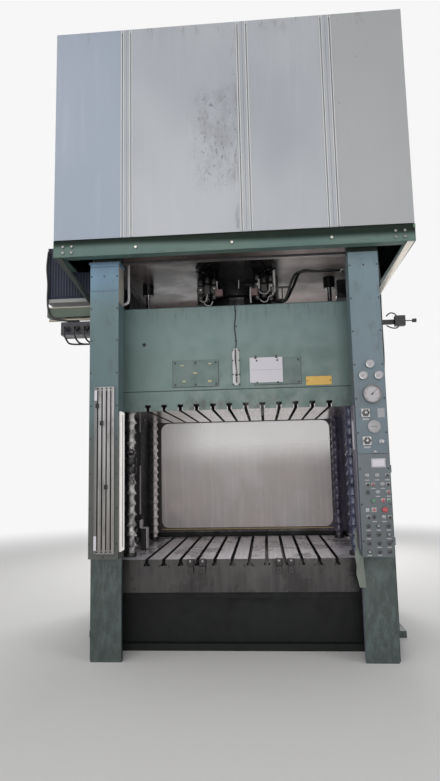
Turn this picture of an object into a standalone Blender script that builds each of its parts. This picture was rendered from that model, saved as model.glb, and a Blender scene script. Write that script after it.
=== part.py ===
"""Four-sided hydraulic press: a bed and a T-slotted bolster between two uprights, a ram
with a T-slotted platen under the main cylinder, a crown that carries the cylinder, and a
clad machine room on a platform above. Metres, +Z up, +X to the operator's right, the
operator stands at -Y. The origin lies on the floor under the middle of the press."""

import math

import bmesh
import bpy
from mathutils import Vector

# Common gaps and stock
GAP = 0.0003  # between pieces that touch
OVERRUN = 0.010  # how far a cutter runs past a face
OVERLAP = 0.005  # how far joined shapes reach into each other
SHEET = 0.004  # folded sheet steel
ROUND_SIDES = 32
HEX_SIDES = 6
BOLT_SIDES = 8
SMALL_SIDES = 16
SMOOTH_ANGLE = math.radians(40)

# Bolster: the T-slotted table
BOLSTER_SIDE = 0.040  # from the bolster's side to the upright
BOLSTER_DEPTH = 1.600
BOLSTER_HEIGHT = 0.280
BOLSTER_TOP = 0.780
SLOT_COUNT = 12
SLOT_PITCH = 0.150
SLOT_NECK = 0.030
SLOT_NECK_DEPTH = 0.034
SLOT_FOOT = 0.052
SLOT_FOOT_HEIGHT = 0.024
CLAMP_SPREAD = 0.105  # between the two clamps of a pair
CLAMP_OFFSET = 0.382  # from the middle of the bolster to the middle of a pair
CLAMP_WIDTH = 0.038
CLAMP_HEIGHT = 0.050
CLAMP_PROUD = 0.030
CLAMP_STEP = 0.014
CLAMP_DROP = 0.002  # the clamp's top under the bolster's top

# Bed: the welded box under the bolster
BED_SETBACK = 0.060
BED_WEB_SETBACK = 0.120
BED_FLANGE = 0.060

# Uprights: a front flange, a web, and a box at the back
UPRIGHT_SPAN = 2.280  # between the inner faces
UPRIGHT_DEPTH = 2.080
UPRIGHT_HEIGHT = 4.480
UPRIGHT_WEB = 0.130
UPRIGHT_BOX = 0.280
UPRIGHT_BOX_FRONT = -0.300
UPRIGHT_FLANGE = 0.050
UPRIGHT_FLANGE_LAP = 0.150  # of the flange, inwards from the web's inner face
UPRIGHT_FLANGE_REACH = 0.110  # and outwards from it
UPRIGHT_FOOT_HEIGHT = 0.060
UPRIGHT_FOOT_REACH = 0.050

# Guide rails on the uprights, shoes on the ram
RAIL_WIDTH = 0.520
RAIL_THICKNESS = 0.0345
RAIL_BOTTOM = 0.860
RAIL_TOP = 3.400
SHOE_WIDTH = 0.400
SHOE_HEIGHT = 0.200
SHOE_MARGIN = 0.060  # from the ram's top or bottom edge to a shoe

# Ram and its platen, drawn at the top of the stroke
DAYLIGHT = 1.310
PLATEN_HEIGHT = 0.180
RAM_SIDE = 0.055  # from the ram's side to the upright
RAM_DEPTH = 1.440
RAM_HEIGHT = 0.793
RAM_POCKET_WIDTH = 0.480
RAM_POCKET_LENGTH = 0.520
RAM_POCKET_DEPTH = 0.560
RAM_POCKET_X = 0.620
RAM_POCKET_Y = 0.370
RAM_EDGE = 0.008

# Front of the ram: access covers, position scale and its cable
ACCESS_WIDTH = 0.420
ACCESS_HEIGHT = 0.245
ACCESS_THICKNESS = 0.008
ACCESS_LEFT_X = -0.378
ACCESS_RIGHT_X = 0.373
ACCESS_Z = 2.430
ACCESS_CORNER = 0.014
SCALE_WIDTH = 0.062
SCALE_HEIGHT = 0.343
SCALE_THICKNESS = 0.022
SCALE_GROOVE = 0.016
SCALE_GROOVE_DEPTH = 0.008
SCALE_X = -0.004
SCALE_Z = 2.476
CABLE_RADIUS = 0.005
CABLE_BEND = 0.012  # radius over the ram's top edge
CABLE_STEPS = 8
CABLE_TAIL = 0.160
CABLE_WANDER = 0.006

# Main cylinder, its gland and the piston
CYLINDER_RADIUS = 0.432
CYLINDER_BORE = 0.300
CYLINDER_BOTTOM = 3.240
CYLINDER_TOP = 4.760
CYLINDER_ROOF = 0.080
CYLINDER_FLANGE = 0.500
CYLINDER_FLANGE_HEIGHT = 0.080
GLAND_RADIUS = 0.370
GLAND_HEIGHT = 0.075
GLAND_SCREWS = 20
GLAND_SCREW_RING = 0.335
GLAND_SCREW_RADIUS = 0.0125
GLAND_SCREW_HEAD = 0.020
MANIFOLD_LENGTH = 0.190
MANIFOLD_X = 0.275  # from the middle plane to a manifold's middle
MANIFOLD_FRONT = -0.545
MANIFOLD_BACK = -0.330
MANIFOLD_BOTTOM = 3.262
MANIFOLD_HEIGHT = 0.034
UNION_RADIUS = 0.019
UNION_Y = -0.520
UNION_BOTTOM = 3.190
UNION_TOP = 3.385
UNION_PITCH = 0.066
UNION_COUNT = 3
ROD_RADIUS = 0.200
ROD_FLANGE = 0.300
ROD_FLANGE_HEIGHT = 0.045
PISTON_HEIGHT = 0.180
PISTON_REST = 0.100  # between the piston's top and the cylinder's roof
PORT_HEIGHT = 0.060  # above the cylinder's lower end
PORT_LENGTH = 0.040

# Pull-back cylinders at both sides of the main cylinder
PULLBACK_X = 0.960
PULLBACK_RADIUS = 0.060
PULLBACK_BOTTOM = 3.400
PULLBACK_TOP = 4.560
PULLBACK_ROD = 0.024
PULLBACK_ROD_FOOT = 0.050
PULLBACK_ROD_FOOT_HEIGHT = 0.030
PULLBACK_ROD_REST = 0.060  # between the rod's top and the cylinder's roof
PULLBACK_ROOF = 0.040

# Crown: the welded box that carries the cylinders
CROWN_BOTTOM = 3.520
CROWN_SKIRT_BOTTOM = 3.410
CROWN_SKIRT = 0.050
CROWN_TOP = 4.400

# Machine room on the crown
TANK_WIDTH = 1.900
TANK_DEPTH = 0.440
TANK_HEIGHT = 0.700
TANK_BACK = 1.000
TANK_LID = 0.030
TANK_LID_REACH = 0.020
TANK_FEET = 0.060
VALVE_RADIUS = 0.180
VALVE_HEIGHT = 0.240
VALVE_PIPE_RADIUS = 0.075
VALVE_PIPE_HEIGHT = 0.110
MOTOR_RADIUS = 0.190
MOTOR_LENGTH = 0.480
MOTOR_X = -0.860  # free end of the motor
MOTOR_Y = -0.740
MOTOR_BASE = 0.040
MOTOR_BASE_WIDTH = 0.300
MOTOR_SHAFT_HEIGHT = 0.240
BELL_RADIUS = 0.120
BELL_LENGTH = 0.120
PUMP_RADIUS = 0.090
PUMP_LENGTH = 0.220

# Platform: a ring of channel round the uprights, with two braces
PLATFORM_SIDE = 0.370  # beyond the uprights' inner faces
PLATFORM_LAP = 0.300  # beyond the uprights' front and back
PLATFORM_BOTTOM = 3.365
PLATFORM_TOP = 3.510
CHANNEL_WALL = 0.012
CHANNEL_FLANGE = 0.0847
RIM_BOLT_RADIUS = 0.0105
RIM_BOLT_HEAD = 0.010
RIM_BOLT_X = (-0.798, 0.013, 0.835)
RIM_BOLT_Z = 3.423
CORNER_BOLT_INSET = 0.085  # from the platform's end to the nearer pair
CORNER_BOLT_PITCH = 0.075
CORNER_BOLT_LOW = 3.400
CORNER_BOLT_HIGH = 3.452
BRACE_TOP_SIZE = 0.056
BRACE_TOP_INSET = 0.010
BRACE_FOOT_Z = 3.025
BRACE_FOOT_HEIGHT = 0.070
BRACE_FOOT_DEPTH = 0.040

# Cladding: folded panels on the platform
CLAD_SET_IN = 0.005  # from the platform's ends
CLAD_LAP = 0.010  # beyond the platform's front and back
CLAD_TOP = 5.430
CLAD_ROOF_HEIGHT = 0.030
CLAD_FOLD = 0.030  # depth of the folded edges
FIRST_PANEL_WIDTH = 0.590  # the front panels, left to right; the fourth fills the rest
SECOND_PANEL_WIDTH = 0.932
THIRD_PANEL_WIDTH = 0.634
CLAD_STRIP = 0.083  # joint strip between two front panels
CLAD_GROOVE = 0.007
CLAD_GROOVE_DEPTH = 0.014

# Covers in front of the uprights
COVER_FRONT = -1.220
COVER_OVERHANG = 0.015  # beyond the flange's inner edge
COVER_WIDTH = 0.247
COVER_BOTTOM = 0.850
COVER_TOP = 3.335
COVER_WALL = 0.004
COVER_SEAM = 0.240  # from the top of the left cover to its seam
COVER_SEAM_WIDTH = 0.004
COVER_SEAM_DEPTH = 0.002
COVER_CAP = 0.010
COVER_CAP_HEIGHT = 0.012

# Light strips on the inner sides of the covers
LIGHT_STRIP_WIDTH = 0.120
LIGHT_STRIP_THICKNESS = 0.015
LIGHT_STRIP_SETBACK = 0.032  # behind the cover's front
LIGHT_STRIP_BOTTOM = 0.905
LIGHT_STRIP_TOP = 2.050

# Trip rail and dogs on the left cover
TRIP_RAIL_WIDTH = 0.168
TRIP_RAIL_THICKNESS = 0.025
TRIP_RAIL_SHIFT = 0.0115  # from the cover's middle
TRIP_RAIL_BOTTOM = 0.894
TRIP_RAIL_TOP = 2.256
TRIP_SLOT_PITCH = 0.037
TRIP_SLOT_COUNT = 4
TRIP_SLOT_NECK = 0.008
TRIP_SLOT_NECK_DEPTH = 0.007
TRIP_SLOT_FOOT = 0.016
TRIP_SLOT_FOOT_HEIGHT = 0.007
DOG_WIDTH = 0.026
DOG_HEIGHT = 0.036
DOG_PROUD = 0.018
DOG_CLEARANCE = 0.0005
DOG_1_Z = 2.097
DOG_2_Z = 1.952
DOG_3_Z = 1.429

# Right cover: gauges, valves and the door with the buttons
# Every shift below is from the cover's middle line
PANEL_SHIFT = 0.0095
GAUGE_SHIFT = 0.0155
GAUGE_Z = 2.135
GAUGE_RADIUS = 0.075
GAUGE_DEPTH = 0.030
GAUGE_RIM = 0.008
GAUGE_RECESS = 0.012
NEEDLE_LENGTH = 0.052
NEEDLE_TAIL = 0.016
NEEDLE_WIDTH = 0.005
NEEDLE_THICKNESS = 0.002
NEEDLE_HUB = 0.007
NEEDLE_ANGLE = math.radians(45)  # clockwise from straight up, as it stands
SMALL_GAUGE_RADIUS = 0.034
SMALL_GAUGE_DEPTH = 0.018
SMALL_GAUGES = ((0.0105, 2.381), (-0.0485, 2.288), (0.0755, 2.286))  # shift and height
BLANK_DISC = (0.0175, 1.871)
BLANK_DISC_RADIUS = 0.050
BLANK_DISC_DEPTH = 0.012
VALVE_KNOB_SHIFT = -0.0445
VALVE_KNOB_UPPER_Z = 1.982
VALVE_KNOB_LOWER_Z = 1.757
VALVE_KNOB_RADIUS = 0.030
VALVE_KNOB_DEPTH = 0.026
VALVE_LOBES = 6
VALVE_LOBE_DEPTH = 0.005
VALVE_STEM_RADIUS = 0.009
VALVE_STEM_LENGTH = 0.022
VALVE_PLATE_SIZE = 0.066
VALVE_PLATE_THICKNESS = 0.006

DOOR_TOP = 1.652
DOOR_GAP = 0.003
DOOR_HINGE_RADIUS = 0.006
DOOR_HINGE_HEIGHT = 0.060
DOOR_HINGE_MARGIN = 0.090
STOP_SHIFT = 0.0645
STOP_Z = 1.213
STOP_RADIUS = 0.022
STOP_DEPTH = 0.018
START_SHIFT = -0.0185
START_Z = 1.286
START_RADIUS = 0.015
START_DEPTH = 0.010
BUTTON_TRAVEL = 0.006
BUTTON_STEM = 0.008
BUTTON_STEM_LENGTH = 0.030
BUTTON_CLEARANCE = 0.0005
BUTTON_COLLAR = 0.004  # wall of the ring round a button
BUTTON_COLLAR_HEIGHT = 0.006
SELECTOR_SHIFT = -0.0575
SELECTOR_Z = 1.349
SELECTOR_RADIUS = 0.016
SELECTOR_DEPTH = 0.010
SELECTOR_GRIP = 0.008
SELECTOR_GRIP_DEPTH = 0.014
BOSS_RADIUS = 0.014
BOSS_DEPTH = 0.012
BOSS_ROW_FIRST = 1.089
BOSS_ROW_PITCH = 0.066
BOSS_ROWS = 4
BOSS_COLUMN_PITCH = 0.078
BOSS_COLUMNS = 3

# Rear guard with its window
GUARD_FRONT = 0.930
GUARD_DEPTH = 0.040
GUARD_BOTTOM = 0.800
GUARD_TOP = 2.200
GUARD_WINDOW_WIDTH = 2.000
GUARD_WINDOW_BOTTOM = 0.865
GUARD_WINDOW_TOP = 2.095
GUARD_CORNER = 0.090
GUARD_REBATE = 0.020
GUARD_PANE = 0.008
CORNER_STEPS = 5

# Bellows over the stop spindles at the four corners
BELLOWS_X = 1.015
BELLOWS_FRONT_Y = -0.615
BELLOWS_REAR_Y = 0.560
BELLOWS_FRONT_RADIUS = 0.060
BELLOWS_REAR_RADIUS = 0.050
BELLOWS_PLEATS = 13
BELLOWS_ROOT_SHARE = 0.72
BELLOWS_CREST_SHARE = 0.24
BELLOWS_COLLAR_HEIGHT = 0.040
BELLOWS_COLLAR_PROUD = 0.006
BELLOWS_SIDES = 12

# Pieces at the left side
CABINET_OUTER = 1.700
CABINET_FRONT = -0.960
CABINET_BACK = -0.320
CABINET_BOTTOM = 3.105
CABINET_STEP = 3.360
CABINET_TOP = 3.600
CABINET_STEP_SHARE = 0.581  # of the cabinet's width, that stays low
CABINET_LIP = 0.045
CABINET_LIP_PROUD = 0.008
RIB_PITCH = 0.026
RIB_WIDTH = 0.010
RIB_PROUD = 0.005
RIB_MARGIN = 0.010
BEAM_HEIGHT = 0.090
BEAM_DEPTH = 0.120
BEAM_TOP = 3.040
BEAM_WALL = 0.008
BLOCK_LENGTH = 0.300
BLOCK_HEIGHT = 0.120
BLOCK_DEPTH = 0.160
BLOCK_TOP = 2.900
BLOCK_PORT_RADIUS = 0.026
BLOCK_PORT_LENGTH = 0.045
BLOCK_PORT_PITCH = 0.090
BLOCK_PORTS = 3

# Pieces at the right side
SENSOR_ARM_Y = -0.450
SENSOR_ARM_Z = 2.910
SENSOR_ARM_HEIGHT = 0.048
SENSOR_ARM_THICKNESS = 0.008
SENSOR_ARM_LENGTH = 0.260
SENSOR_BOX_WIDTH = 0.095
SENSOR_BOX_HEIGHT = 0.095
SENSOR_BOX_DEPTH = 0.060
SENSOR_BOX_X = 1.500  # its near side
SENSOR_ROD_RADIUS = 0.005
SENSOR_TIP_RADIUS = 0.018
SENSOR_TIP_LENGTH = 0.036
SENSOR_REACH = 1.700

# Return line from the right upright to the main cylinder
LINE_RADIUS = 0.014
LINE_Y = -0.400
LINE_Z = 3.462
LINE_BEND_X = 0.640
LINE_STEPS = 6

# Worked out from the sizes above
PLATEN_BOTTOM = BOLSTER_TOP + DAYLIGHT
RAM_BOTTOM = PLATEN_BOTTOM + PLATEN_HEIGHT + GAP
RAM_TOP = PLATEN_BOTTOM + PLATEN_HEIGHT + RAM_HEIGHT
RAM_FRONT = -RAM_DEPTH / 2
RAM_WIDTH = UPRIGHT_SPAN - 2 * RAM_SIDE
UPRIGHT_INNER = UPRIGHT_SPAN / 2
BOLSTER_WIDTH = UPRIGHT_SPAN - 2 * BOLSTER_SIDE
UPRIGHT_FLANGE_INNER = UPRIGHT_INNER - UPRIGHT_FLANGE_LAP
UPRIGHT_FLANGE_OUTER = UPRIGHT_INNER + UPRIGHT_FLANGE_REACH
UPRIGHT_WEB_OUTER = UPRIGHT_INNER + UPRIGHT_WEB
UPRIGHT_BOX_OUTER = UPRIGHT_INNER + UPRIGHT_BOX
UPRIGHT_FRONT = -UPRIGHT_DEPTH / 2
UPRIGHT_BACK = UPRIGHT_DEPTH / 2
RAIL_INNER = UPRIGHT_INNER - GAP - RAIL_THICKNESS
COVER_BACK = UPRIGHT_FRONT - GAP
COVER_INNER = UPRIGHT_FLANGE_INNER - COVER_OVERHANG
COVER_OUTER = COVER_INNER + COVER_WIDTH
COVER_MIDDLE = COVER_INNER + COVER_WIDTH / 2
TRIP_RAIL_X = TRIP_RAIL_SHIFT - COVER_MIDDLE
PANEL_X = COVER_MIDDLE + PANEL_SHIFT
GAUGE_X = COVER_MIDDLE + GAUGE_SHIFT
VALVE_KNOB_X = COVER_MIDDLE + VALVE_KNOB_SHIFT
STOP_X = COVER_MIDDLE + STOP_SHIFT
START_X = COVER_MIDDLE + START_SHIFT
SELECTOR_X = COVER_MIDDLE + SELECTOR_SHIFT
PLATFORM_WIDTH = UPRIGHT_SPAN + 2 * PLATFORM_SIDE
PLATFORM_DEPTH = UPRIGHT_DEPTH + 2 * PLATFORM_LAP
CLAD_LEFT = CLAD_SET_IN - PLATFORM_WIDTH / 2
CLAD_FRONT = -CLAD_LAP - PLATFORM_DEPTH / 2
CLAD_BOTTOM = PLATFORM_TOP + GAP
CLAD_WALL_TOP = CLAD_TOP - CLAD_ROOF_HEIGHT - GAP


# Paint and metal
def material(name, colour, roughness, metallic, transmission=0):
    """A plain Principled material, made once for each name."""
    made = bpy.data.materials.get(name)
    if made:
        return made
    made = bpy.data.materials.new(name)
    made.use_nodes = True
    made.diffuse_color = (*colour, 1)
    shader = made.node_tree.nodes["Principled BSDF"]
    shader.inputs["Base Color"].default_value = (*colour, 1)
    shader.inputs["Roughness"].default_value = roughness
    shader.inputs["Metallic"].default_value = metallic
    shader.inputs["Transmission Weight"].default_value = transmission
    return made


def machine_green():
    return material("machine_green", (0.10, 0.19, 0.17), 0.45, 0)


def dark_green():
    return material("dark_green", (0.05, 0.09, 0.07), 0.55, 0)


def ground_steel():
    return material("ground_steel", (0.33, 0.33, 0.33), 0.35, 0.9)


def bright_steel():
    return material("bright_steel", (0.60, 0.60, 0.60), 0.20, 1)


def silver_paint():
    return material("silver_paint", (0.48, 0.50, 0.54), 0.40, 0.3)


def black_paint():
    return material("black_paint", (0.02, 0.02, 0.025), 0.40, 0)


def aluminium():
    return material("aluminium", (0.62, 0.62, 0.60), 0.35, 0.9)


def bellows_cloth():
    return material("bellows_cloth", (0.30, 0.30, 0.29), 0.45, 0)


def grey_enamel():
    return material("grey_enamel", (0.22, 0.23, 0.24), 0.45, 0)


def dial_white():
    return material("dial_white", (0.70, 0.70, 0.66), 0.40, 0)


def clear_sheet():
    return material("clear_sheet", (0.75, 0.74, 0.70), 0.20, 0, 0.8)


def brown_paint():
    return material("brown_paint", (0.05, 0.03, 0.02), 0.50, 0)


def navy_paint():
    return material("navy_paint", (0.03, 0.04, 0.07), 0.50, 0)


def button_red():
    return material("button_red", (0.55, 0.03, 0.02), 0.35, 0)


def button_green():
    return material("button_green", (0.03, 0.25, 0.08), 0.35, 0)


def cable_black():
    return material("cable_black", (0.02, 0.02, 0.02), 0.50, 0)


# Shapes
def cleared():
    for obj in list(bpy.data.objects):
        bpy.data.objects.remove(obj, do_unlink=True)


def piece(name, bm, paint, origin=(0, 0, 0)):
    """An object from a bmesh that is written in world places; its origin goes to `origin`."""
    bmesh.ops.recalc_face_normals(bm, faces=bm.faces)
    bmesh.ops.translate(bm, verts=bm.verts, vec=-Vector(origin))
    mesh = bpy.data.meshes.new(name)
    bm.to_mesh(mesh)
    bm.free()
    obj = bpy.data.objects.new(name, mesh)
    obj.location = origin
    bpy.context.scene.collection.objects.link(obj)
    if paint:
        mesh.materials.append(paint)
    return obj


def helper(name, bm):
    """A shape that only joins or cuts another one."""
    obj = piece(name, bm, None)
    obj.hide_render = True
    obj.display_type = "WIRE"
    return obj


def apply_all(obj, shapes, operation):
    for index, shape in enumerate(shapes):
        tool = helper(f"{obj.name}_{operation.lower()}_{index}", shape)
        boolean = obj.modifiers.new(tool.name, "BOOLEAN")
        boolean.operation = operation
        boolean.object = tool


def joined(obj, *shapes):
    apply_all(obj, shapes, "UNION")
    return obj


def cut(obj, *shapes):
    apply_all(obj, shapes, "DIFFERENCE")
    return obj


def rounded(obj, width, segments=1):
    bevel = obj.modifiers.new("edge", "BEVEL")
    bevel.width = width
    bevel.segments = segments
    bevel.limit_method = "ANGLE"
    bevel.angle_limit = SMOOTH_ANGLE
    return obj


def smooth(obj):
    obj.data.shade_smooth()
    obj.data.set_sharp_from_angle(angle=SMOOTH_ANGLE)
    return obj


def prism(outline, axis, low, high):
    """An outline of two coordinates, extruded along the third axis."""
    bm = bmesh.new()
    rings = []
    for level in (low, high):
        ring = []
        for a, b in outline:
            place = {"X": (level, a, b), "Y": (a, level, b), "Z": (a, b, level)}[axis]
            ring.append(bm.verts.new(place))
        rings.append(ring)
    count = len(outline)
    bm.faces.new(rings[0])
    bm.faces.new(rings[1])
    for i in range(count):
        j = (i + 1) % count
        bm.faces.new((rings[0][i], rings[0][j], rings[1][j], rings[1][i]))
    return bm


def block(x0, x1, y0, y1, z0, z1):
    return prism([(x0, y0), (x1, y0), (x1, y1), (x0, y1)], "Z", z0, z1)


def turned(profile, centre, axis="Z", sides=ROUND_SIDES):
    """A closed profile of (radius, height) points, turned about an axis through `centre`.
    Points on the axis become one pole."""
    bm = bmesh.new()
    rings = []
    for radius, height in profile:
        ring = []
        steps = sides if radius > 0 else 1
        for i in range(steps):
            angle = 2 * math.pi * i / sides
            a, b = radius * math.cos(angle), radius * math.sin(angle)
            local = {"X": (height, a, b), "Y": (a, height, b), "Z": (a, b, height)}[axis]
            ring.append(bm.verts.new(Vector(centre) + Vector(local)))
        rings.append(ring)
    for k, low in enumerate(rings):
        high = rings[(k + 1) % len(rings)]
        if len(low) == 1 and len(high) == 1:
            continue
        for i in range(sides):
            j = (i + 1) % sides
            corners = [low[i % len(low)], low[j % len(low)], high[j % len(high)], high[i % len(high)]]
            bm.faces.new(list(dict.fromkeys(corners)))
    return bm


def rod(radius, low, high, centre, axis="Z", sides=ROUND_SIDES):
    return turned([(0, low), (radius, low), (radius, high), (0, high)], centre, axis, sides)


def rounded_rectangle(width, height, radius, centre=(0, 0), steps=CORNER_STEPS):
    """The outline of a rectangle with quarter-round corners."""
    points = []
    corners = ((1, 1), (-1, 1), (-1, -1), (1, -1))
    for quarter, (sx, sy) in enumerate(corners):
        for i in range(steps + 1):
            angle = (quarter + i / steps) * math.pi / 2
            x = sx * (width / 2 - radius) + radius * math.cos(angle)
            y = sy * (height / 2 - radius) + radius * math.sin(angle)
            points.append((centre[0] + x, centre[1] + y))
    return points


def mirrored(outline):
    return [(-x, y) for x, y in reversed(outline)]


def folded(path, thickness):
    """The outline of a sheet bent along `path`, with the sheet on the path's left side."""
    inner = []
    for i, point in enumerate(path):
        here = Vector(point)
        before = (here - Vector(path[i - 1])).normalized() if i else None
        after = (Vector(path[i + 1]) - here).normalized() if i + 1 < len(path) else None
        first = before or after
        second = after or before
        left_a = Vector((-first.y, first.x))
        left_b = Vector((-second.y, second.x))
        middle = (left_a + left_b).normalized()
        inner.append(tuple(here + middle * (thickness / middle.dot(left_a))))
    return list(path) + inner[::-1]


def tube(name, points, radius, paint, resolution=3):
    """A round tube along points, with filled ends."""
    curve = bpy.data.curves.new(name, "CURVE")
    curve.dimensions = "3D"
    curve.bevel_depth = radius
    curve.bevel_resolution = resolution
    curve.use_fill_caps = True
    spline = curve.splines.new("POLY")
    spline.points.add(len(points) - 1)
    for target, point in zip(spline.points, points):
        target.co = (*point, 1)
    obj = bpy.data.objects.new(name, curve)
    curve.materials.append(paint)
    bpy.context.scene.collection.objects.link(obj)
    return obj


def smooth_route(points, steps):
    """A Catmull-Rom curve through the points, `steps` to each stretch."""
    places = [Vector(p) for p in points]
    places = [2 * places[0] - places[1], *places, 2 * places[-1] - places[-2]]
    route = []
    for i in range(1, len(places) - 2):
        a, b, c, d = places[i - 1 : i + 3]
        for k in range(steps):
            t = k / steps
            bend = (2 * a - 5 * b + 4 * c - d) * t**2 + (3 * b - 3 * c + d - a) * t**3
            route.append(b + ((c - a) * t + bend) / 2)
    route.append(places[-2])
    return route


# Bolster and platen share one T-slot section
def slotted_outline(width, face, back):
    """Section across a T-slotted plate: `face` carries the slots, `back` is plain."""
    into = 1 if back > face else -1
    neck = face + into * SLOT_NECK_DEPTH
    floor = neck + into * SLOT_FOOT_HEIGHT
    points = [(-width / 2, back), (-width / 2, face)]
    for i in range(SLOT_COUNT):
        x = (i - (SLOT_COUNT - 1) / 2) * SLOT_PITCH
        points += [
            (x - SLOT_NECK / 2, face),
            (x - SLOT_NECK / 2, neck),
            (x - SLOT_FOOT / 2, neck),
            (x - SLOT_FOOT / 2, floor),
            (x + SLOT_FOOT / 2, floor),
            (x + SLOT_FOOT / 2, neck),
            (x + SLOT_NECK / 2, neck),
            (x + SLOT_NECK / 2, face),
        ]
    return points + [(width / 2, face), (width / 2, back)]


def clamp_outline(front):
    """Side view (Y, Z) of a table clamp: a step that hangs over its lower half."""
    top = BOLSTER_TOP - CLAMP_DROP
    return [
        (front + OVERLAP, top),
        (front - CLAMP_PROUD, top),
        (front - CLAMP_PROUD, top - CLAMP_HEIGHT),
        (front - CLAMP_PROUD + CLAMP_STEP, top - CLAMP_HEIGHT),
        (front - CLAMP_PROUD + CLAMP_STEP, top - 2 * CLAMP_HEIGHT),
        (front + OVERLAP, top - 2 * CLAMP_HEIGHT),
    ]


def make_bolster():
    bottom = BOLSTER_TOP - BOLSTER_HEIGHT
    front = -BOLSTER_DEPTH / 2
    outline = slotted_outline(BOLSTER_WIDTH, BOLSTER_TOP, bottom)
    obj = piece("bolster", prism(outline, "Y", front, BOLSTER_DEPTH / 2), ground_steel())
    clamps = []
    for side in (-1, 1):
        for part in (-1, 1):
            x = side * CLAMP_OFFSET + part * CLAMP_SPREAD / 2
            clamps.append(prism(clamp_outline(front), "X", x - CLAMP_WIDTH / 2, x + CLAMP_WIDTH / 2))
    joined(obj, *clamps)


def make_bed():
    top = BOLSTER_TOP - BOLSTER_HEIGHT - GAP
    flange = BOLSTER_DEPTH / 2 - BED_SETBACK
    web = BOLSTER_DEPTH / 2 - BED_WEB_SETBACK
    outline = [
        (-flange, 0),
        (flange, 0),
        (flange, BED_FLANGE),
        (web, BED_FLANGE),
        (web, top - BED_FLANGE),
        (flange, top - BED_FLANGE),
        (flange, top),
        (-flange, top),
        (-flange, top - BED_FLANGE),
        (-web, top - BED_FLANGE),
        (-web, BED_FLANGE),
        (-flange, BED_FLANGE),
    ]
    half = UPRIGHT_INNER - GAP
    piece("bed", prism(outline, "X", -half, half), dark_green())


# Uprights, rails and crown
def upright_outline():
    """Plan of the right upright: front flange, web and box."""
    behind_flange = UPRIGHT_FRONT + UPRIGHT_FLANGE
    return [
        (UPRIGHT_INNER, behind_flange),
        (UPRIGHT_FLANGE_INNER, behind_flange),
        (UPRIGHT_FLANGE_INNER, UPRIGHT_FRONT),
        (UPRIGHT_FLANGE_OUTER, UPRIGHT_FRONT),
        (UPRIGHT_FLANGE_OUTER, behind_flange),
        (UPRIGHT_WEB_OUTER, behind_flange),
        (UPRIGHT_WEB_OUTER, UPRIGHT_BOX_FRONT),
        (UPRIGHT_BOX_OUTER, UPRIGHT_BOX_FRONT),
        (UPRIGHT_BOX_OUTER, UPRIGHT_BACK),
        (UPRIGHT_INNER, UPRIGHT_BACK),
    ]


def upright_foot():
    return [
        (UPRIGHT_INNER + OVERLAP, UPRIGHT_BOX_FRONT - UPRIGHT_FOOT_REACH),
        (UPRIGHT_BOX_OUTER + UPRIGHT_FOOT_REACH, UPRIGHT_BOX_FRONT - UPRIGHT_FOOT_REACH),
        (UPRIGHT_BOX_OUTER + UPRIGHT_FOOT_REACH, UPRIGHT_BACK + UPRIGHT_FOOT_REACH),
        (UPRIGHT_INNER + OVERLAP, UPRIGHT_BACK + UPRIGHT_FOOT_REACH),
    ]


def make_uprights():
    for name, turn in (("upright_left", mirrored), ("upright_right", list)):
        obj = piece(name, prism(turn(upright_outline()), "Z", 0, UPRIGHT_HEIGHT), machine_green())
        joined(obj, prism(turn(upright_foot()), "Z", 0, UPRIGHT_FOOT_HEIGHT))


def make_guide_rails():
    for name, side in (("guide_rail_left", -1), ("guide_rail_right", 1)):
        x = sorted((side * RAIL_INNER, side * (UPRIGHT_INNER - GAP)))
        bm = block(*x, -RAIL_WIDTH / 2, RAIL_WIDTH / 2, RAIL_BOTTOM, RAIL_TOP)
        piece(name, bm, bright_steel())


def make_crown():
    half = UPRIGHT_INNER - GAP
    front = UPRIGHT_FRONT + UPRIGHT_FLANGE + GAP
    outline = [
        (front, CROWN_SKIRT_BOTTOM),
        (front + CROWN_SKIRT, CROWN_SKIRT_BOTTOM),
        (front + CROWN_SKIRT, CROWN_BOTTOM),
        (UPRIGHT_BACK - CROWN_SKIRT, CROWN_BOTTOM),
        (UPRIGHT_BACK - CROWN_SKIRT, CROWN_SKIRT_BOTTOM),
        (UPRIGHT_BACK, CROWN_SKIRT_BOTTOM),
        (UPRIGHT_BACK, CROWN_TOP),
        (front, CROWN_TOP),
    ]
    obj = piece("crown", prism(outline, "X", -half, half), dark_green())
    low = CROWN_BOTTOM - OVERRUN
    high = CROWN_TOP + OVERRUN
    cut(
        obj,
        rod(CYLINDER_RADIUS + GAP, low, high, (0, 0, 0)),
        rod(PULLBACK_RADIUS + GAP, low, high, (-PULLBACK_X, 0, 0), sides=SMALL_SIDES),
        rod(PULLBACK_RADIUS + GAP, low, high, (PULLBACK_X, 0, 0), sides=SMALL_SIDES),
    )


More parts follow.
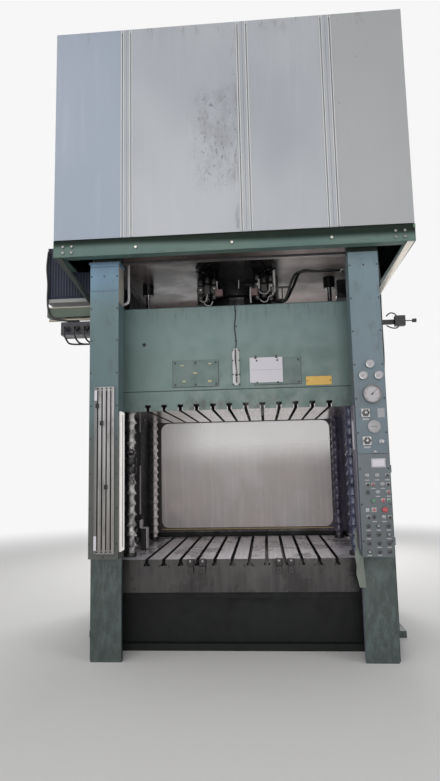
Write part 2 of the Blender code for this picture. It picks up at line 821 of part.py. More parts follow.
# Ram
def make_ram():
    half = RAM_WIDTH / 2
    obj = piece("ram", block(-half, half, RAM_FRONT, -RAM_FRONT, RAM_BOTTOM, RAM_TOP), machine_green())
    rounded(obj, RAM_EDGE)
    shoes = []
    for side in (-1, 1):
        x = sorted((side * (half - OVERLAP), side * (RAIL_INNER - GAP)))
        for z in (RAM_BOTTOM + SHOE_MARGIN, RAM_TOP - SHOE_MARGIN - SHOE_HEIGHT):
            shoes.append(block(*x, -SHOE_WIDTH / 2, SHOE_WIDTH / 2, z, z + SHOE_HEIGHT))
    joined(obj, *shoes)
    pockets = []
    for x in (-RAM_POCKET_X, RAM_POCKET_X):
        for y in (-RAM_POCKET_Y, RAM_POCKET_Y):
            pockets.append(
                block(
                    x - RAM_POCKET_WIDTH / 2,
                    x + RAM_POCKET_WIDTH / 2,
                    y - RAM_POCKET_LENGTH / 2,
                    y + RAM_POCKET_LENGTH / 2,
                    RAM_TOP - RAM_POCKET_DEPTH,
                    RAM_TOP + OVERRUN,
                )
            )
    cut(obj, *pockets)
    outline = slotted_outline(RAM_WIDTH, PLATEN_BOTTOM, PLATEN_BOTTOM + PLATEN_HEIGHT)
    piece("ram_platen", prism(outline, "Y", RAM_FRONT, -RAM_FRONT), machine_green())


def make_access_covers():
    back = RAM_FRONT - GAP
    for name, x in (("access_cover_left", ACCESS_LEFT_X), ("access_cover_right", ACCESS_RIGHT_X)):
        outline = rounded_rectangle(ACCESS_WIDTH, ACCESS_HEIGHT, ACCESS_CORNER, (x, ACCESS_Z))
        piece(name, prism(outline, "Y", back - ACCESS_THICKNESS, back), machine_green())


def make_position_scale():
    """The white scale with its long groove, and the cable that comes down to it."""
    back = RAM_FRONT - GAP
    front = back - SCALE_THICKNESS
    outline = rounded_rectangle(SCALE_WIDTH, SCALE_HEIGHT, SCALE_WIDTH / 2, (SCALE_X, SCALE_Z))
    obj = piece("position_scale", prism(outline, "Y", front, back), dial_white())
    margin = SCALE_WIDTH - SCALE_GROOVE
    groove = rounded_rectangle(SCALE_GROOVE, SCALE_HEIGHT - margin, SCALE_GROOVE / 2, (SCALE_X, SCALE_Z))
    cut(obj, prism(groove, "Y", front - OVERRUN, front + SCALE_GROOVE_DEPTH))
    reach = CABLE_RADIUS + 3 * GAP
    lay = RAM_FRONT - reach
    end = SCALE_Z + SCALE_HEIGHT / 2 + GAP
    drop = RAM_TOP - CABLE_BEND - end
    points = [(SCALE_X, RAM_FRONT + CABLE_TAIL, RAM_TOP + reach)]
    for i in range(CABLE_STEPS + 1):
        angle = math.pi / 2 * (1 + i / CABLE_STEPS)
        y = RAM_FRONT + CABLE_BEND + (CABLE_BEND + reach) * math.cos(angle)
        z = RAM_TOP - CABLE_BEND + (CABLE_BEND + reach) * math.sin(angle)
        points.append((SCALE_X, y, z))
    for i in range(1, 2 * CABLE_STEPS + 1):
        share = i / (2 * CABLE_STEPS)
        x = SCALE_X + CABLE_WANDER * math.sin(3 * math.pi * share)
        points.append((x, lay, end + drop * (1 - share)))
    tube("ram_cable", points, CABLE_RADIUS, cable_black(), 2)


# Cylinders and pistons
def make_main_cylinder():
    """The cylinder with two manifolds and their unions, and the gland ring under it."""
    flange = CROWN_TOP + GAP
    profile = [
        (0, CYLINDER_TOP),
        (0, CYLINDER_TOP - CYLINDER_ROOF),
        (CYLINDER_BORE, CYLINDER_TOP - CYLINDER_ROOF),
        (CYLINDER_BORE, CYLINDER_BOTTOM),
        (CYLINDER_RADIUS, CYLINDER_BOTTOM),
        (CYLINDER_RADIUS, flange),
        (CYLINDER_FLANGE, flange),
        (CYLINDER_FLANGE, flange + CYLINDER_FLANGE_HEIGHT),
        (CYLINDER_RADIUS, flange + CYLINDER_FLANGE_HEIGHT),
        (CYLINDER_RADIUS, CYLINDER_TOP),
    ]
    obj = piece("main_cylinder", turned(profile, (0, 0, 0)), black_paint())
    half = MANIFOLD_LENGTH / 2
    top = MANIFOLD_BOTTOM + MANIFOLD_HEIGHT
    shapes = []
    for side in (-1, 1):
        x = side * MANIFOLD_X
        shapes.append(block(x - half, x + half, MANIFOLD_FRONT, MANIFOLD_BACK, MANIFOLD_BOTTOM, top))
        for i in range(UNION_COUNT):
            place = (x + (i - (UNION_COUNT - 1) / 2) * UNION_PITCH, UNION_Y, 0)
            shapes.append(rod(UNION_RADIUS, UNION_BOTTOM, UNION_TOP, place, sides=BOLT_SIDES))
    smooth(joined(obj, *shapes))
    top = CYLINDER_BOTTOM - GAP
    profile = [
        (ROD_RADIUS + GAP, top),
        (GLAND_RADIUS, top),
        (GLAND_RADIUS, top - GLAND_HEIGHT),
        (ROD_RADIUS + GAP, top - GLAND_HEIGHT),
    ]
    obj = piece("gland_ring", turned(profile, (0, 0, 0)), black_paint())
    low = top - GLAND_HEIGHT - GLAND_SCREW_HEAD
    high = top - GLAND_HEIGHT + OVERLAP
    screws = []
    for i in range(GLAND_SCREWS):
        angle = 2 * math.pi * (i + 1 / 2) / GLAND_SCREWS
        place = (GLAND_SCREW_RING * math.cos(angle), GLAND_SCREW_RING * math.sin(angle), 0)
        screws.append(rod(GLAND_SCREW_RADIUS, low, high, place, sides=HEX_SIDES))
    smooth(joined(obj, *screws))


def make_piston():
    foot = RAM_TOP + GAP
    top = CYLINDER_TOP - CYLINDER_ROOF - PISTON_REST
    profile = [
        (0, foot),
        (ROD_FLANGE, foot),
        (ROD_FLANGE, foot + ROD_FLANGE_HEIGHT),
        (ROD_RADIUS, foot + ROD_FLANGE_HEIGHT),
        (ROD_RADIUS, top - PISTON_HEIGHT),
        (CYLINDER_BORE - GAP, top - PISTON_HEIGHT),
        (CYLINDER_BORE - GAP, top),
        (0, top),
    ]
    smooth(piece("piston", turned(profile, (0, 0, 0)), bright_steel()))


def make_pullbacks():
    for name, x in (("left", -PULLBACK_X), ("right", PULLBACK_X)):
        roof = PULLBACK_TOP - PULLBACK_ROOF
        profile = [
            (0, PULLBACK_TOP),
            (0, roof),
            (PULLBACK_ROD + GAP, roof),
            (PULLBACK_ROD + GAP, PULLBACK_BOTTOM),
            (PULLBACK_RADIUS, PULLBACK_BOTTOM),
            (PULLBACK_RADIUS, PULLBACK_TOP),
        ]
        bm = turned(profile, (x, 0, 0), sides=SMALL_SIDES)
        smooth(piece(f"pullback_cylinder_{name}", bm, black_paint()))
        foot = RAM_TOP + GAP
        profile = [
            (0, foot),
            (PULLBACK_ROD_FOOT, foot),
            (PULLBACK_ROD_FOOT, foot + PULLBACK_ROD_FOOT_HEIGHT),
            (PULLBACK_ROD, foot + PULLBACK_ROD_FOOT_HEIGHT),
            (PULLBACK_ROD, roof - PULLBACK_ROD_REST),
            (0, roof - PULLBACK_ROD_REST),
        ]
        bm = turned(profile, (x, 0, 0), sides=SMALL_SIDES)
        smooth(piece(f"pullback_rod_{name}", bm, bright_steel()))


def make_return_line():
    """A pressure line from the right upright to the port low on the main cylinder."""
    port = (CYLINDER_RADIUS + GAP, 0, CYLINDER_BOTTOM + PORT_HEIGHT)
    start = UPRIGHT_INNER - GAP
    straight = (start - LINE_BEND_X) / 3
    points = [(start - i * straight, LINE_Y, LINE_Z) for i in range(4)]
    run = port[0] + 2 * PORT_LENGTH
    points.append(((LINE_BEND_X + run) / 2, LINE_Y / 2, (LINE_Z + port[2]) / 2))
    points.append((run, 0, port[2]))
    points.append((run - PORT_LENGTH, 0, port[2]))
    points.append(port)
    tube("return_line", smooth_route(points, LINE_STEPS), LINE_RADIUS, cable_black(), 2)


# Machine room
def make_tank():
    half = TANK_WIDTH / 2
    bottom = CROWN_TOP + GAP
    front = TANK_BACK - TANK_DEPTH
    top = bottom + TANK_HEIGHT
    obj = piece("oil_tank", block(-half, half, front, TANK_BACK, bottom + TANK_FEET, top), grey_enamel())
    reach = TANK_LID_REACH
    side = half + reach
    lid = block(-side, side, front - reach, TANK_BACK + reach, top - OVERLAP, top + TANK_LID)
    feet = [
        block(x - TANK_FEET, x + TANK_FEET, front, TANK_BACK, bottom, bottom + TANK_FEET + OVERLAP)
        for x in (TANK_FEET - half, 0, half - TANK_FEET)
    ]
    joined(obj, lid, *feet)


def make_prefill_valve():
    bottom = CYLINDER_TOP + GAP
    obj = piece("prefill_valve", rod(VALVE_RADIUS, bottom, bottom + VALVE_HEIGHT, (0, 0, 0)), grey_enamel())
    end = TANK_BACK - TANK_DEPTH - GAP
    centre = (0, 0, bottom + VALVE_PIPE_HEIGHT)
    joined(obj, rod(VALVE_PIPE_RADIUS, 0, end, centre, "Y", SMALL_SIDES))


def make_pump():
    """An electric motor, a bell housing and a pump on one base plate."""
    bottom = CROWN_TOP + GAP
    shaft = bottom + MOTOR_SHAFT_HEIGHT
    centre = (0, MOTOR_Y, shaft)
    bell = MOTOR_X + MOTOR_LENGTH
    pump = bell + BELL_LENGTH
    end = pump + PUMP_LENGTH
    obj = piece("pump_motor", rod(MOTOR_RADIUS, MOTOR_X, bell, centre, "X"), grey_enamel())
    half = MOTOR_BASE_WIDTH / 2
    foot = half / 2

    def across(reach):
        return MOTOR_Y - reach, MOTOR_Y + reach

    joined(
        obj,
        rod(BELL_RADIUS, bell - OVERLAP, pump + OVERLAP, centre, "X", SMALL_SIDES),
        rod(PUMP_RADIUS, pump, end, centre, "X", SMALL_SIDES),
        block(MOTOR_X + foot, bell - foot, *across(foot), bottom + OVERLAP, shaft),
        block(MOTOR_X + OVERLAP, end - OVERLAP, *across(half), bottom, bottom + MOTOR_BASE),
        block(pump + foot / 2, end - foot / 2, *across(foot / 2), bottom + OVERLAP, shaft),
    )


# Platform
def make_platform():
    """A channel section carried round a rectangle, mitred at the corners, bolted in front."""
    section = [
        (0, PLATFORM_BOTTOM),
        (CHANNEL_FLANGE, PLATFORM_BOTTOM),
        (CHANNEL_FLANGE, PLATFORM_BOTTOM + CHANNEL_WALL),
        (CHANNEL_WALL, PLATFORM_BOTTOM + CHANNEL_WALL),
        (CHANNEL_WALL, PLATFORM_TOP - CHANNEL_WALL),
        (CHANNEL_FLANGE, PLATFORM_TOP - CHANNEL_WALL),
        (CHANNEL_FLANGE, PLATFORM_TOP),
        (0, PLATFORM_TOP),
    ]
    bm = bmesh.new()
    rings = []
    for sx, sy in ((-1, -1), (1, -1), (1, 1), (-1, 1)):
        ring = []
        for inset, z in section:
            place = (sx * (PLATFORM_WIDTH / 2 - inset), sy * (PLATFORM_DEPTH / 2 - inset), z)
            ring.append(bm.verts.new(place))
        rings.append(ring)
    count = len(section)
    for k, ring in enumerate(rings):
        after = rings[(k + 1) % len(rings)]
        for i in range(count):
            j = (i + 1) % count
            bm.faces.new((ring[i], ring[j], after[j], after[i]))
    obj = piece("platform", bm, machine_green())
    places = [(x, RIM_BOLT_Z) for x in RIM_BOLT_X]
    for side in (-1, 1):
        for i in range(2):
            x = PLATFORM_WIDTH / 2 - CORNER_BOLT_INSET - i * CORNER_BOLT_PITCH
            places += [(side * x, CORNER_BOLT_LOW), (side * x, CORNER_BOLT_HIGH)]
    front = -PLATFORM_DEPTH / 2
    head = front - RIM_BOLT_HEAD
    root = front + CHANNEL_WALL / 2
    joined(obj, *[rod(RIM_BOLT_RADIUS, head, root, (x, 0, z), "Y", HEX_SIDES) for x, z in places])


def make_braces():
    """A flat bar from the flange of an upright up to the platform's corner."""
    outer = PLATFORM_WIDTH / 2 - BRACE_TOP_INSET
    front = BRACE_TOP_INSET - PLATFORM_DEPTH / 2
    top = PLATFORM_BOTTOM - GAP
    foot_x = UPRIGHT_FLANGE_OUTER + GAP
    foot_y = UPRIGHT_FRONT + (UPRIGHT_FLANGE - BRACE_FOOT_DEPTH) / 2
    for name, side in (("brace_left", -1), ("brace_right", 1)):
        bm = bmesh.new()
        inner = outer - BRACE_TOP_SIZE
        rear = front + BRACE_TOP_SIZE
        high = [(inner, front), (outer, front), (outer, rear), (inner, rear)]
        low_z = BRACE_FOOT_Z - BRACE_FOOT_HEIGHT / 2
        high_z = BRACE_FOOT_Z + BRACE_FOOT_HEIGHT / 2
        back = foot_y + BRACE_FOOT_DEPTH
        low = [(foot_y, high_z), (foot_y, low_z), (back, low_z), (back, high_z)]
        upper = [bm.verts.new((side * x, y, top)) for x, y in high]
        lower = [bm.verts.new((side * foot_x, y, z)) for y, z in low]
        bm.faces.new(upper)
        bm.faces.new(lower)
        for i in range(4):
            j = (i + 1) % 4
            bm.faces.new((upper[i], upper[j], lower[j], lower[i]))
        piece(name, bm, dark_green())


# Cladding
def front_panel(name, left, right, strip):
    """A sheet with folded edges; a strip beyond a groove closes the joint to the next one."""
    fold = CLAD_FRONT + CLAD_FOLD
    path = [(left, fold), (left, CLAD_FRONT), (right, CLAD_FRONT)]
    if strip:
        groove = CLAD_FRONT + CLAD_GROOVE_DEPTH
        end = right + CLAD_STRIP - CLAD_GROOVE
        start = right + CLAD_GROOVE
        path += [(right, groove), (start, groove), (start, CLAD_FRONT), (end, CLAD_FRONT)]
        path += [(end, groove), (end + CLAD_GROOVE - GAP, groove)]
    else:
        path += [(right, fold)]
    piece(name, prism(folded(path, SHEET / 2), "Z", CLAD_BOTTOM, CLAD_WALL_TOP), silver_paint())


def make_cladding():
    left = CLAD_LEFT
    widths = (FIRST_PANEL_WIDTH, SECOND_PANEL_WIDTH, THIRD_PANEL_WIDTH)
    for number, width in enumerate(widths, 1):
        front_panel(f"cladding_front_{number}", left, left + width, True)
        left += width + CLAD_STRIP
    front_panel("cladding_front_4", left, -CLAD_LEFT, False)
    fold = -CLAD_FRONT - CLAD_FOLD
    path = [(-CLAD_LEFT, fold), (-CLAD_LEFT, -CLAD_FRONT), (CLAD_LEFT, -CLAD_FRONT), (CLAD_LEFT, fold)]
    piece("cladding_rear", prism(folded(path, SHEET), "Z", CLAD_BOTTOM, CLAD_WALL_TOP), silver_paint())
    reach = fold - GAP
    inner = -CLAD_LEFT - CLAD_FOLD
    path = [(inner, -reach), (-CLAD_LEFT, -reach), (-CLAD_LEFT, reach), (inner, reach)]
    right = folded(path, SHEET)
    for name, outline in (("cladding_left", mirrored(right)), ("cladding_right", right)):
        piece(name, prism(outline, "Z", CLAD_BOTTOM, CLAD_WALL_TOP), silver_paint())
    bottom = CLAD_TOP - CLAD_ROOF_HEIGHT
    whole = block(CLAD_LEFT, -CLAD_LEFT, CLAD_FRONT, -CLAD_FRONT, bottom, CLAD_TOP)
    roof = piece("cladding_roof", whole, silver_paint())
    x = -CLAD_LEFT - CLAD_FOLD
    y = -CLAD_FRONT - CLAD_FOLD
    cut(roof, block(-x, x, -y, y, bottom - OVERRUN, CLAD_TOP - SHEET))


# Covers
def cover_shell(name, side):
    """A deep folded cover, open at the back, with a light strip on its inner side."""
    x = sorted((side * COVER_INNER, side * COVER_OUTER))
    obj = piece(name, block(*x, COVER_FRONT, COVER_BACK, COVER_BOTTOM, COVER_TOP), machine_green())
    inner = [x[0] + COVER_WALL, x[1] - COVER_WALL]
    cut(
        obj,
        block(
            *inner,
            COVER_FRONT + COVER_WALL,
            COVER_BACK + OVERRUN,
            COVER_BOTTOM + COVER_WALL,
            COVER_TOP - COVER_WALL,
        ),
    )
    strip = sorted((side * (COVER_INNER - LIGHT_STRIP_THICKNESS), side * (COVER_INNER + OVERLAP)))
    front = COVER_FRONT + LIGHT_STRIP_SETBACK
    back = front + LIGHT_STRIP_WIDTH
    joined(obj, block(*strip, front, back, LIGHT_STRIP_BOTTOM, LIGHT_STRIP_TOP))
    return obj, x


def make_left_cover():
    obj, x = cover_shell("cover_left", -1)
    seam = COVER_TOP - COVER_SEAM
    cut(
        obj,
        block(
            x[0] - OVERRUN,
            x[1] + OVERRUN,
            COVER_FRONT - OVERRUN,
            COVER_FRONT + COVER_SEAM_DEPTH,
            seam,
            seam + COVER_SEAM_WIDTH,
        ),
    )
    cap = block(
        x[0] - COVER_CAP,
        x[1] + COVER_CAP,
        COVER_FRONT - COVER_CAP,
        COVER_BACK,
        COVER_TOP - OVERLAP,
        COVER_TOP + COVER_CAP_HEIGHT,
    )
    joined(obj, cap)


def trip_slot_x(index):
    return TRIP_RAIL_X + (index - (TRIP_SLOT_COUNT - 1) / 2) * TRIP_SLOT_PITCH


def make_trip_rail():
    """An aluminium rail with T-slots for the trip dogs."""
    back = COVER_FRONT - GAP
    front = back - TRIP_RAIL_THICKNESS
    neck = front + TRIP_SLOT_NECK_DEPTH
    floor = neck + TRIP_SLOT_FOOT_HEIGHT
    left = TRIP_RAIL_X - TRIP_RAIL_WIDTH / 2
    right = TRIP_RAIL_X + TRIP_RAIL_WIDTH / 2
    outline = [(left, back), (left, front)]
    for i in range(TRIP_SLOT_COUNT):
        x = trip_slot_x(i)
        outline += [
            (x - TRIP_SLOT_NECK / 2, front),
            (x - TRIP_SLOT_NECK / 2, neck),
            (x - TRIP_SLOT_FOOT / 2, neck),
            (x - TRIP_SLOT_FOOT / 2, floor),
            (x + TRIP_SLOT_FOOT / 2, floor),
            (x + TRIP_SLOT_FOOT / 2, neck),
            (x + TRIP_SLOT_NECK / 2, neck),
            (x + TRIP_SLOT_NECK / 2, front),
        ]
    outline += [(right, front), (right, back)]
    piece("trip_rail", prism(outline, "Z", TRIP_RAIL_BOTTOM, TRIP_RAIL_TOP), aluminium())


def make_trip_dogs():
    """Each dog holds its slot with a T-shaped foot."""
    front = COVER_FRONT - GAP - TRIP_RAIL_THICKNESS
    neck = front + TRIP_SLOT_NECK_DEPTH + DOG_CLEARANCE
    floor = front + TRIP_SLOT_NECK_DEPTH + TRIP_SLOT_FOOT_HEIGHT - DOG_CLEARANCE
    shank = TRIP_SLOT_NECK / 2 - DOG_CLEARANCE
    foot = TRIP_SLOT_FOOT / 2 - DOG_CLEARANCE
    head = DOG_WIDTH / 2
    for index, z in enumerate((DOG_1_Z, DOG_2_Z, DOG_3_Z)):
        x = trip_slot_x(index)
        outline = [
            (x - head, front - DOG_PROUD),
            (x + head, front - DOG_PROUD),
            (x + head, front - GAP),
            (x + shank, front - GAP),
            (x + shank, neck),
            (x + foot, neck),
            (x + foot, floor),
            (x - foot, floor),
            (x - foot, neck),
            (x - shank, neck),
            (x - shank, front - GAP),
            (x - head, front - GAP),
        ]
        low = z - DOG_HEIGHT / 2
        dog = prism(outline, "Z", low, low + DOG_HEIGHT)
        piece(f"trip_dog_{index + 1}", dog, black_paint(), (x, front, z))


def make_right_cover():
    """The cover with the gauges; the door closes its lower front."""
    obj, x = cover_shell("cover_right", 1)
    cut(
        obj,
        block(
            x[0] - OVERRUN,
            x[1] + OVERRUN,
            COVER_FRONT - OVERRUN,
            COVER_FRONT + COVER_WALL + GAP,
            COVER_BOTTOM - OVERRUN,
            DOOR_TOP + DOOR_GAP,
        ),
    )
    root = COVER_FRONT + COVER_WALL / 2
    front = COVER_FRONT - SMALL_GAUGE_DEPTH
    discs = [
        rod(SMALL_GAUGE_RADIUS, front, root, (COVER_MIDDLE + shift, 0, z), "Y", SMALL_SIDES)
        for shift, z in SMALL_GAUGES
    ]
    shift, z = BLANK_DISC
    front = COVER_FRONT - BLANK_DISC_DEPTH
    centre = (COVER_MIDDLE + shift, 0, z)
    discs.append(rod(BLANK_DISC_RADIUS, front, root, centre, "Y", SMALL_SIDES))
    half = VALVE_PLATE_SIZE / 2
    for z in (VALVE_KNOB_UPPER_Z, VALVE_KNOB_LOWER_Z):
        plate_front = COVER_FRONT - VALVE_PLATE_THICKNESS
        x = VALVE_KNOB_X
        discs.append(block(x - half, x + half, plate_front, root, z - half, z + half))
        discs.append(
            rod(
                VALVE_STEM_RADIUS,
                plate_front - VALVE_STEM_LENGTH,
                COVER_FRONT,
                (VALVE_KNOB_X, 0, z),
                "Y",
                SMALL_SIDES,
            )
        )
    joined(obj, *discs)


def make_gauge():
    back = COVER_FRONT - GAP
    front = back - GAUGE_DEPTH
    centre = (GAUGE_X, 0, GAUGE_Z)
    profile = [
        (0, back),
        (GAUGE_RADIUS, back),
        (GAUGE_RADIUS, front),
        (GAUGE_RADIUS - GAUGE_RIM, front),
        (GAUGE_RADIUS - GAUGE_RIM, front + GAUGE_RECESS),
        (0, front + GAUGE_RECESS),
    ]
    smooth(piece("gauge", turned(profile, centre, "Y"), dial_white()))
    dial = front + GAUGE_RECESS - GAP
    along = Vector((math.sin(NEEDLE_ANGLE), math.cos(NEEDLE_ANGLE)))
    across = Vector((along.y, -along.x)) * NEEDLE_WIDTH / 2
    middle = Vector((GAUGE_X, GAUGE_Z))
    tip = middle + along * NEEDLE_LENGTH
    tail = middle - along * NEEDLE_TAIL
    outline = [tail - across, tip - across / 4, tip + across / 4, tail + across]
    needle = prism([tuple(p) for p in outline], "Y", dial - NEEDLE_THICKNESS, dial)
    obj = piece("gauge_needle", needle, black_paint(), centre)
    hub = rod(NEEDLE_HUB, dial - 2 * NEEDLE_THICKNESS, dial, centre, "Y", SMALL_SIDES)
    joined(obj, hub)


def make_valve_knobs():
    """Hand knobs with a lobed rim on the stems of the flow valves."""
    front = COVER_FRONT - VALVE_PLATE_THICKNESS
    back = front - GAP
    for name, z in (("upper", VALVE_KNOB_UPPER_Z), ("lower", VALVE_KNOB_LOWER_Z)):
        outline = []
        steps = 4 * VALVE_LOBES
        for i in range(steps):
            angle = 2 * math.pi * i / steps
            radius = VALVE_KNOB_RADIUS - VALVE_LOBE_DEPTH * (1 - math.cos(VALVE_LOBES * angle)) / 2
            outline.append((VALVE_KNOB_X + radius * math.cos(angle), z + radius * math.sin(angle)))
        low = back - VALVE_KNOB_DEPTH
        centre = (VALVE_KNOB_X, back, z)
        obj = piece(f"valve_knob_{name}", prism(outline, "Y", low, back), black_paint(), centre)
        bore_radius = VALVE_STEM_RADIUS + BUTTON_CLEARANCE
        place = (VALVE_KNOB_X, 0, z)
        bore = rod(bore_radius, low - OVERRUN, back + OVERRUN, place, "Y", SMALL_SIDES)
        cut(obj, bore)


def button_collar(x, z, radius):
    """A ring that stands on the door round a button."""
    inner = radius + BUTTON_CLEARANCE
    front = COVER_FRONT - BUTTON_COLLAR_HEIGHT
    back = COVER_FRONT + COVER_WALL / 2
    outer = inner + BUTTON_COLLAR
    profile = [(inner, back), (outer, back), (outer, front), (inner, front)]
    return turned(profile, (x, 0, z), "Y", SMALL_SIDES)


def make_door():
    """The door that carries the buttons; it opens about the hinge on its outer edge."""
    hinge_x = COVER_OUTER + DOOR_HINGE_RADIUS + GAP
    hinge_y = COVER_FRONT + COVER_WALL
    bottom = COVER_BOTTOM
    back = COVER_FRONT + COVER_WALL
    obj = piece(
        "control_door",
        block(COVER_INNER, COVER_OUTER, COVER_FRONT, back, bottom, DOOR_TOP),
        machine_green(),
        (hinge_x, hinge_y, 0),
    )
    shapes = []
    axis = (hinge_x, hinge_y, 0)
    leaf_back = back - GAP
    for z in (bottom + DOOR_HINGE_MARGIN, DOOR_TOP - DOOR_HINGE_MARGIN - DOOR_HINGE_HEIGHT):
        top = z + DOOR_HINGE_HEIGHT
        shapes.append(rod(DOOR_HINGE_RADIUS, z, top, axis, sides=SMALL_SIDES))
        shapes.append(block(COVER_OUTER - OVERLAP, hinge_x, COVER_FRONT, leaf_back, z, top))
    for x, z, radius in ((STOP_X, STOP_Z, BUTTON_STEM), (START_X, START_Z, START_RADIUS)):
        shapes.append(button_collar(x, z, max(radius, BUTTON_STEM)))
    for row in range(BOSS_ROWS):
        for column in range(BOSS_COLUMNS):
            x = PANEL_X + (column - (BOSS_COLUMNS - 1) / 2) * BOSS_COLUMN_PITCH
            z = BOSS_ROW_FIRST - row * BOSS_ROW_PITCH
            front = COVER_FRONT - BOSS_DEPTH
            shapes.append(rod(BOSS_RADIUS, front, back - GAP, (x, 0, z), "Y", BOLT_SIDES))
    joined(obj, *shapes)
    holes = []
    radius = BUTTON_STEM + BUTTON_CLEARANCE
    low = COVER_FRONT - OVERRUN
    high = back + OVERRUN
    for x, z in ((STOP_X, STOP_Z), (START_X, START_Z), (SELECTOR_X, SELECTOR_Z)):
        holes.append(rod(radius, low, high, (x, 0, z), "Y", SMALL_SIDES))
    cut(obj, *holes)


def make_buttons():
    """A mushroom stop button, a start button and a selector, each on its stem."""
    stem_end = COVER_FRONT + BUTTON_STEM_LENGTH
    face = COVER_FRONT - BUTTON_COLLAR_HEIGHT - BUTTON_TRAVEL - BUTTON_CLEARANCE
    profile = [
        (0, stem_end),
        (BUTTON_STEM, stem_end),
        (BUTTON_STEM, face),
        (STOP_RADIUS, face),
        (STOP_RADIUS, face - STOP_DEPTH / 2),
        (STOP_RADIUS / 2, face - STOP_DEPTH),
        (0, face - STOP_DEPTH),
    ]
    place = (STOP_X, 0, STOP_Z)
    smooth(piece("stop_button", turned(profile, place, "Y", SMALL_SIDES), button_red(), place))
    face = COVER_FRONT - GAP - BUTTON_TRAVEL
    profile = [
        (0, stem_end),
        (BUTTON_STEM, stem_end),
        (BUTTON_STEM, face),
        (START_RADIUS, face),
        (START_RADIUS, face - START_DEPTH),
        (0, face - START_DEPTH),
    ]
    place = (START_X, 0, START_Z)
    smooth(piece("start_button", turned(profile, place, "Y", SMALL_SIDES), button_green(), place))
    face = COVER_FRONT - GAP
    profile = [
        (0, stem_end),
        (BUTTON_STEM, stem_end),
        (BUTTON_STEM, face),
        (SELECTOR_RADIUS, face),
        (SELECTOR_RADIUS, face - SELECTOR_DEPTH),
        (0, face - SELECTOR_DEPTH),
    ]
    place = (SELECTOR_X, 0, SELECTOR_Z)
    obj = piece("selector", turned(profile, place, "Y", SMALL_SIDES), black_paint(), place)
    half = SELECTOR_GRIP / 2
    reach = SELECTOR_RADIUS - OVERLAP / 2
    low = face - SELECTOR_DEPTH - SELECTOR_GRIP_DEPTH
    x, z = SELECTOR_X, SELECTOR_Z
    joined(obj, block(x - half, x + half, low, face - OVERLAP, z - reach, z + reach))


# Rear guard
def make_guard():
    width = UPRIGHT_SPAN - 2 * GAP
    middle = (GUARD_BOTTOM + GUARD_TOP) / 2
    half = width / 2
    back = GUARD_FRONT + GUARD_DEPTH
    whole = block(-half, half, GUARD_FRONT, back, GUARD_BOTTOM, GUARD_TOP)
    obj = piece("guard_frame", whole, brown_paint())
    height = GUARD_WINDOW_TOP - GUARD_WINDOW_BOTTOM
    centre = (0, (GUARD_WINDOW_TOP + GUARD_WINDOW_BOTTOM) / 2)
    hole = rounded_rectangle(GUARD_WINDOW_WIDTH, height, GUARD_CORNER, centre)
    rebate = rounded_rectangle(
        GUARD_WINDOW_WIDTH + 2 * GUARD_REBATE, height + 2 * GUARD_REBATE, GUARD_CORNER, centre
    )
    seat = (GUARD_FRONT + back) / 2
    cut(
        obj,
        prism(hole, "Y", GUARD_FRONT - OVERRUN, back + OVERRUN),
        prism(rebate, "Y", seat, back + OVERRUN),
    )
    pane = rounded_rectangle(
        GUARD_WINDOW_WIDTH + 2 * (GUARD_REBATE - GAP),
        height + 2 * (GUARD_REBATE - GAP),
        GUARD_CORNER - GAP,
        centre,
    )
    piece("guard_window", prism(pane, "Y", seat + GAP, seat + GAP + GUARD_PANE), clear_sheet())


# Bellows
def make_bellows():
    """Pleated sleeves between the bolster and the platen, with a collar at each end."""
    low = BOLSTER_TOP + GAP
    high = PLATEN_BOTTOM - GAP
    first = low + BELLOWS_COLLAR_HEIGHT
    pitch = (high - BELLOWS_COLLAR_HEIGHT - first) / BELLOWS_PLEATS
    places = (
        ("bellows_front_left", -BELLOWS_X, BELLOWS_FRONT_Y, BELLOWS_FRONT_RADIUS),
        ("bellows_front_right", BELLOWS_X, BELLOWS_FRONT_Y, BELLOWS_FRONT_RADIUS),
        ("bellows_rear_left", -BELLOWS_X, BELLOWS_REAR_Y, BELLOWS_REAR_RADIUS),
        ("bellows_rear_right", BELLOWS_X, BELLOWS_REAR_Y, BELLOWS_REAR_RADIUS),
    )
    for name, x, y, crest in places:
        root = crest * BELLOWS_ROOT_SHARE
        collar = crest + BELLOWS_COLLAR_PROUD
        profile = [(0, low), (collar, low), (collar, first), (root, first)]
        for i in range(BELLOWS_PLEATS):
            middle = first + (i + 1 / 2) * pitch
            rise = BELLOWS_CREST_SHARE * pitch / 2
            profile += [(crest, middle - rise), (crest, middle + rise), (root, first + (i + 1) * pitch)]
        profile += [(collar, high - BELLOWS_COLLAR_HEIGHT), (collar, high), (0, high)]
        bm = turned(profile, (x, y, 0), sides=BELLOWS_SIDES)
        smooth(piece(name, bm, bellows_cloth(), (x, y, low)))


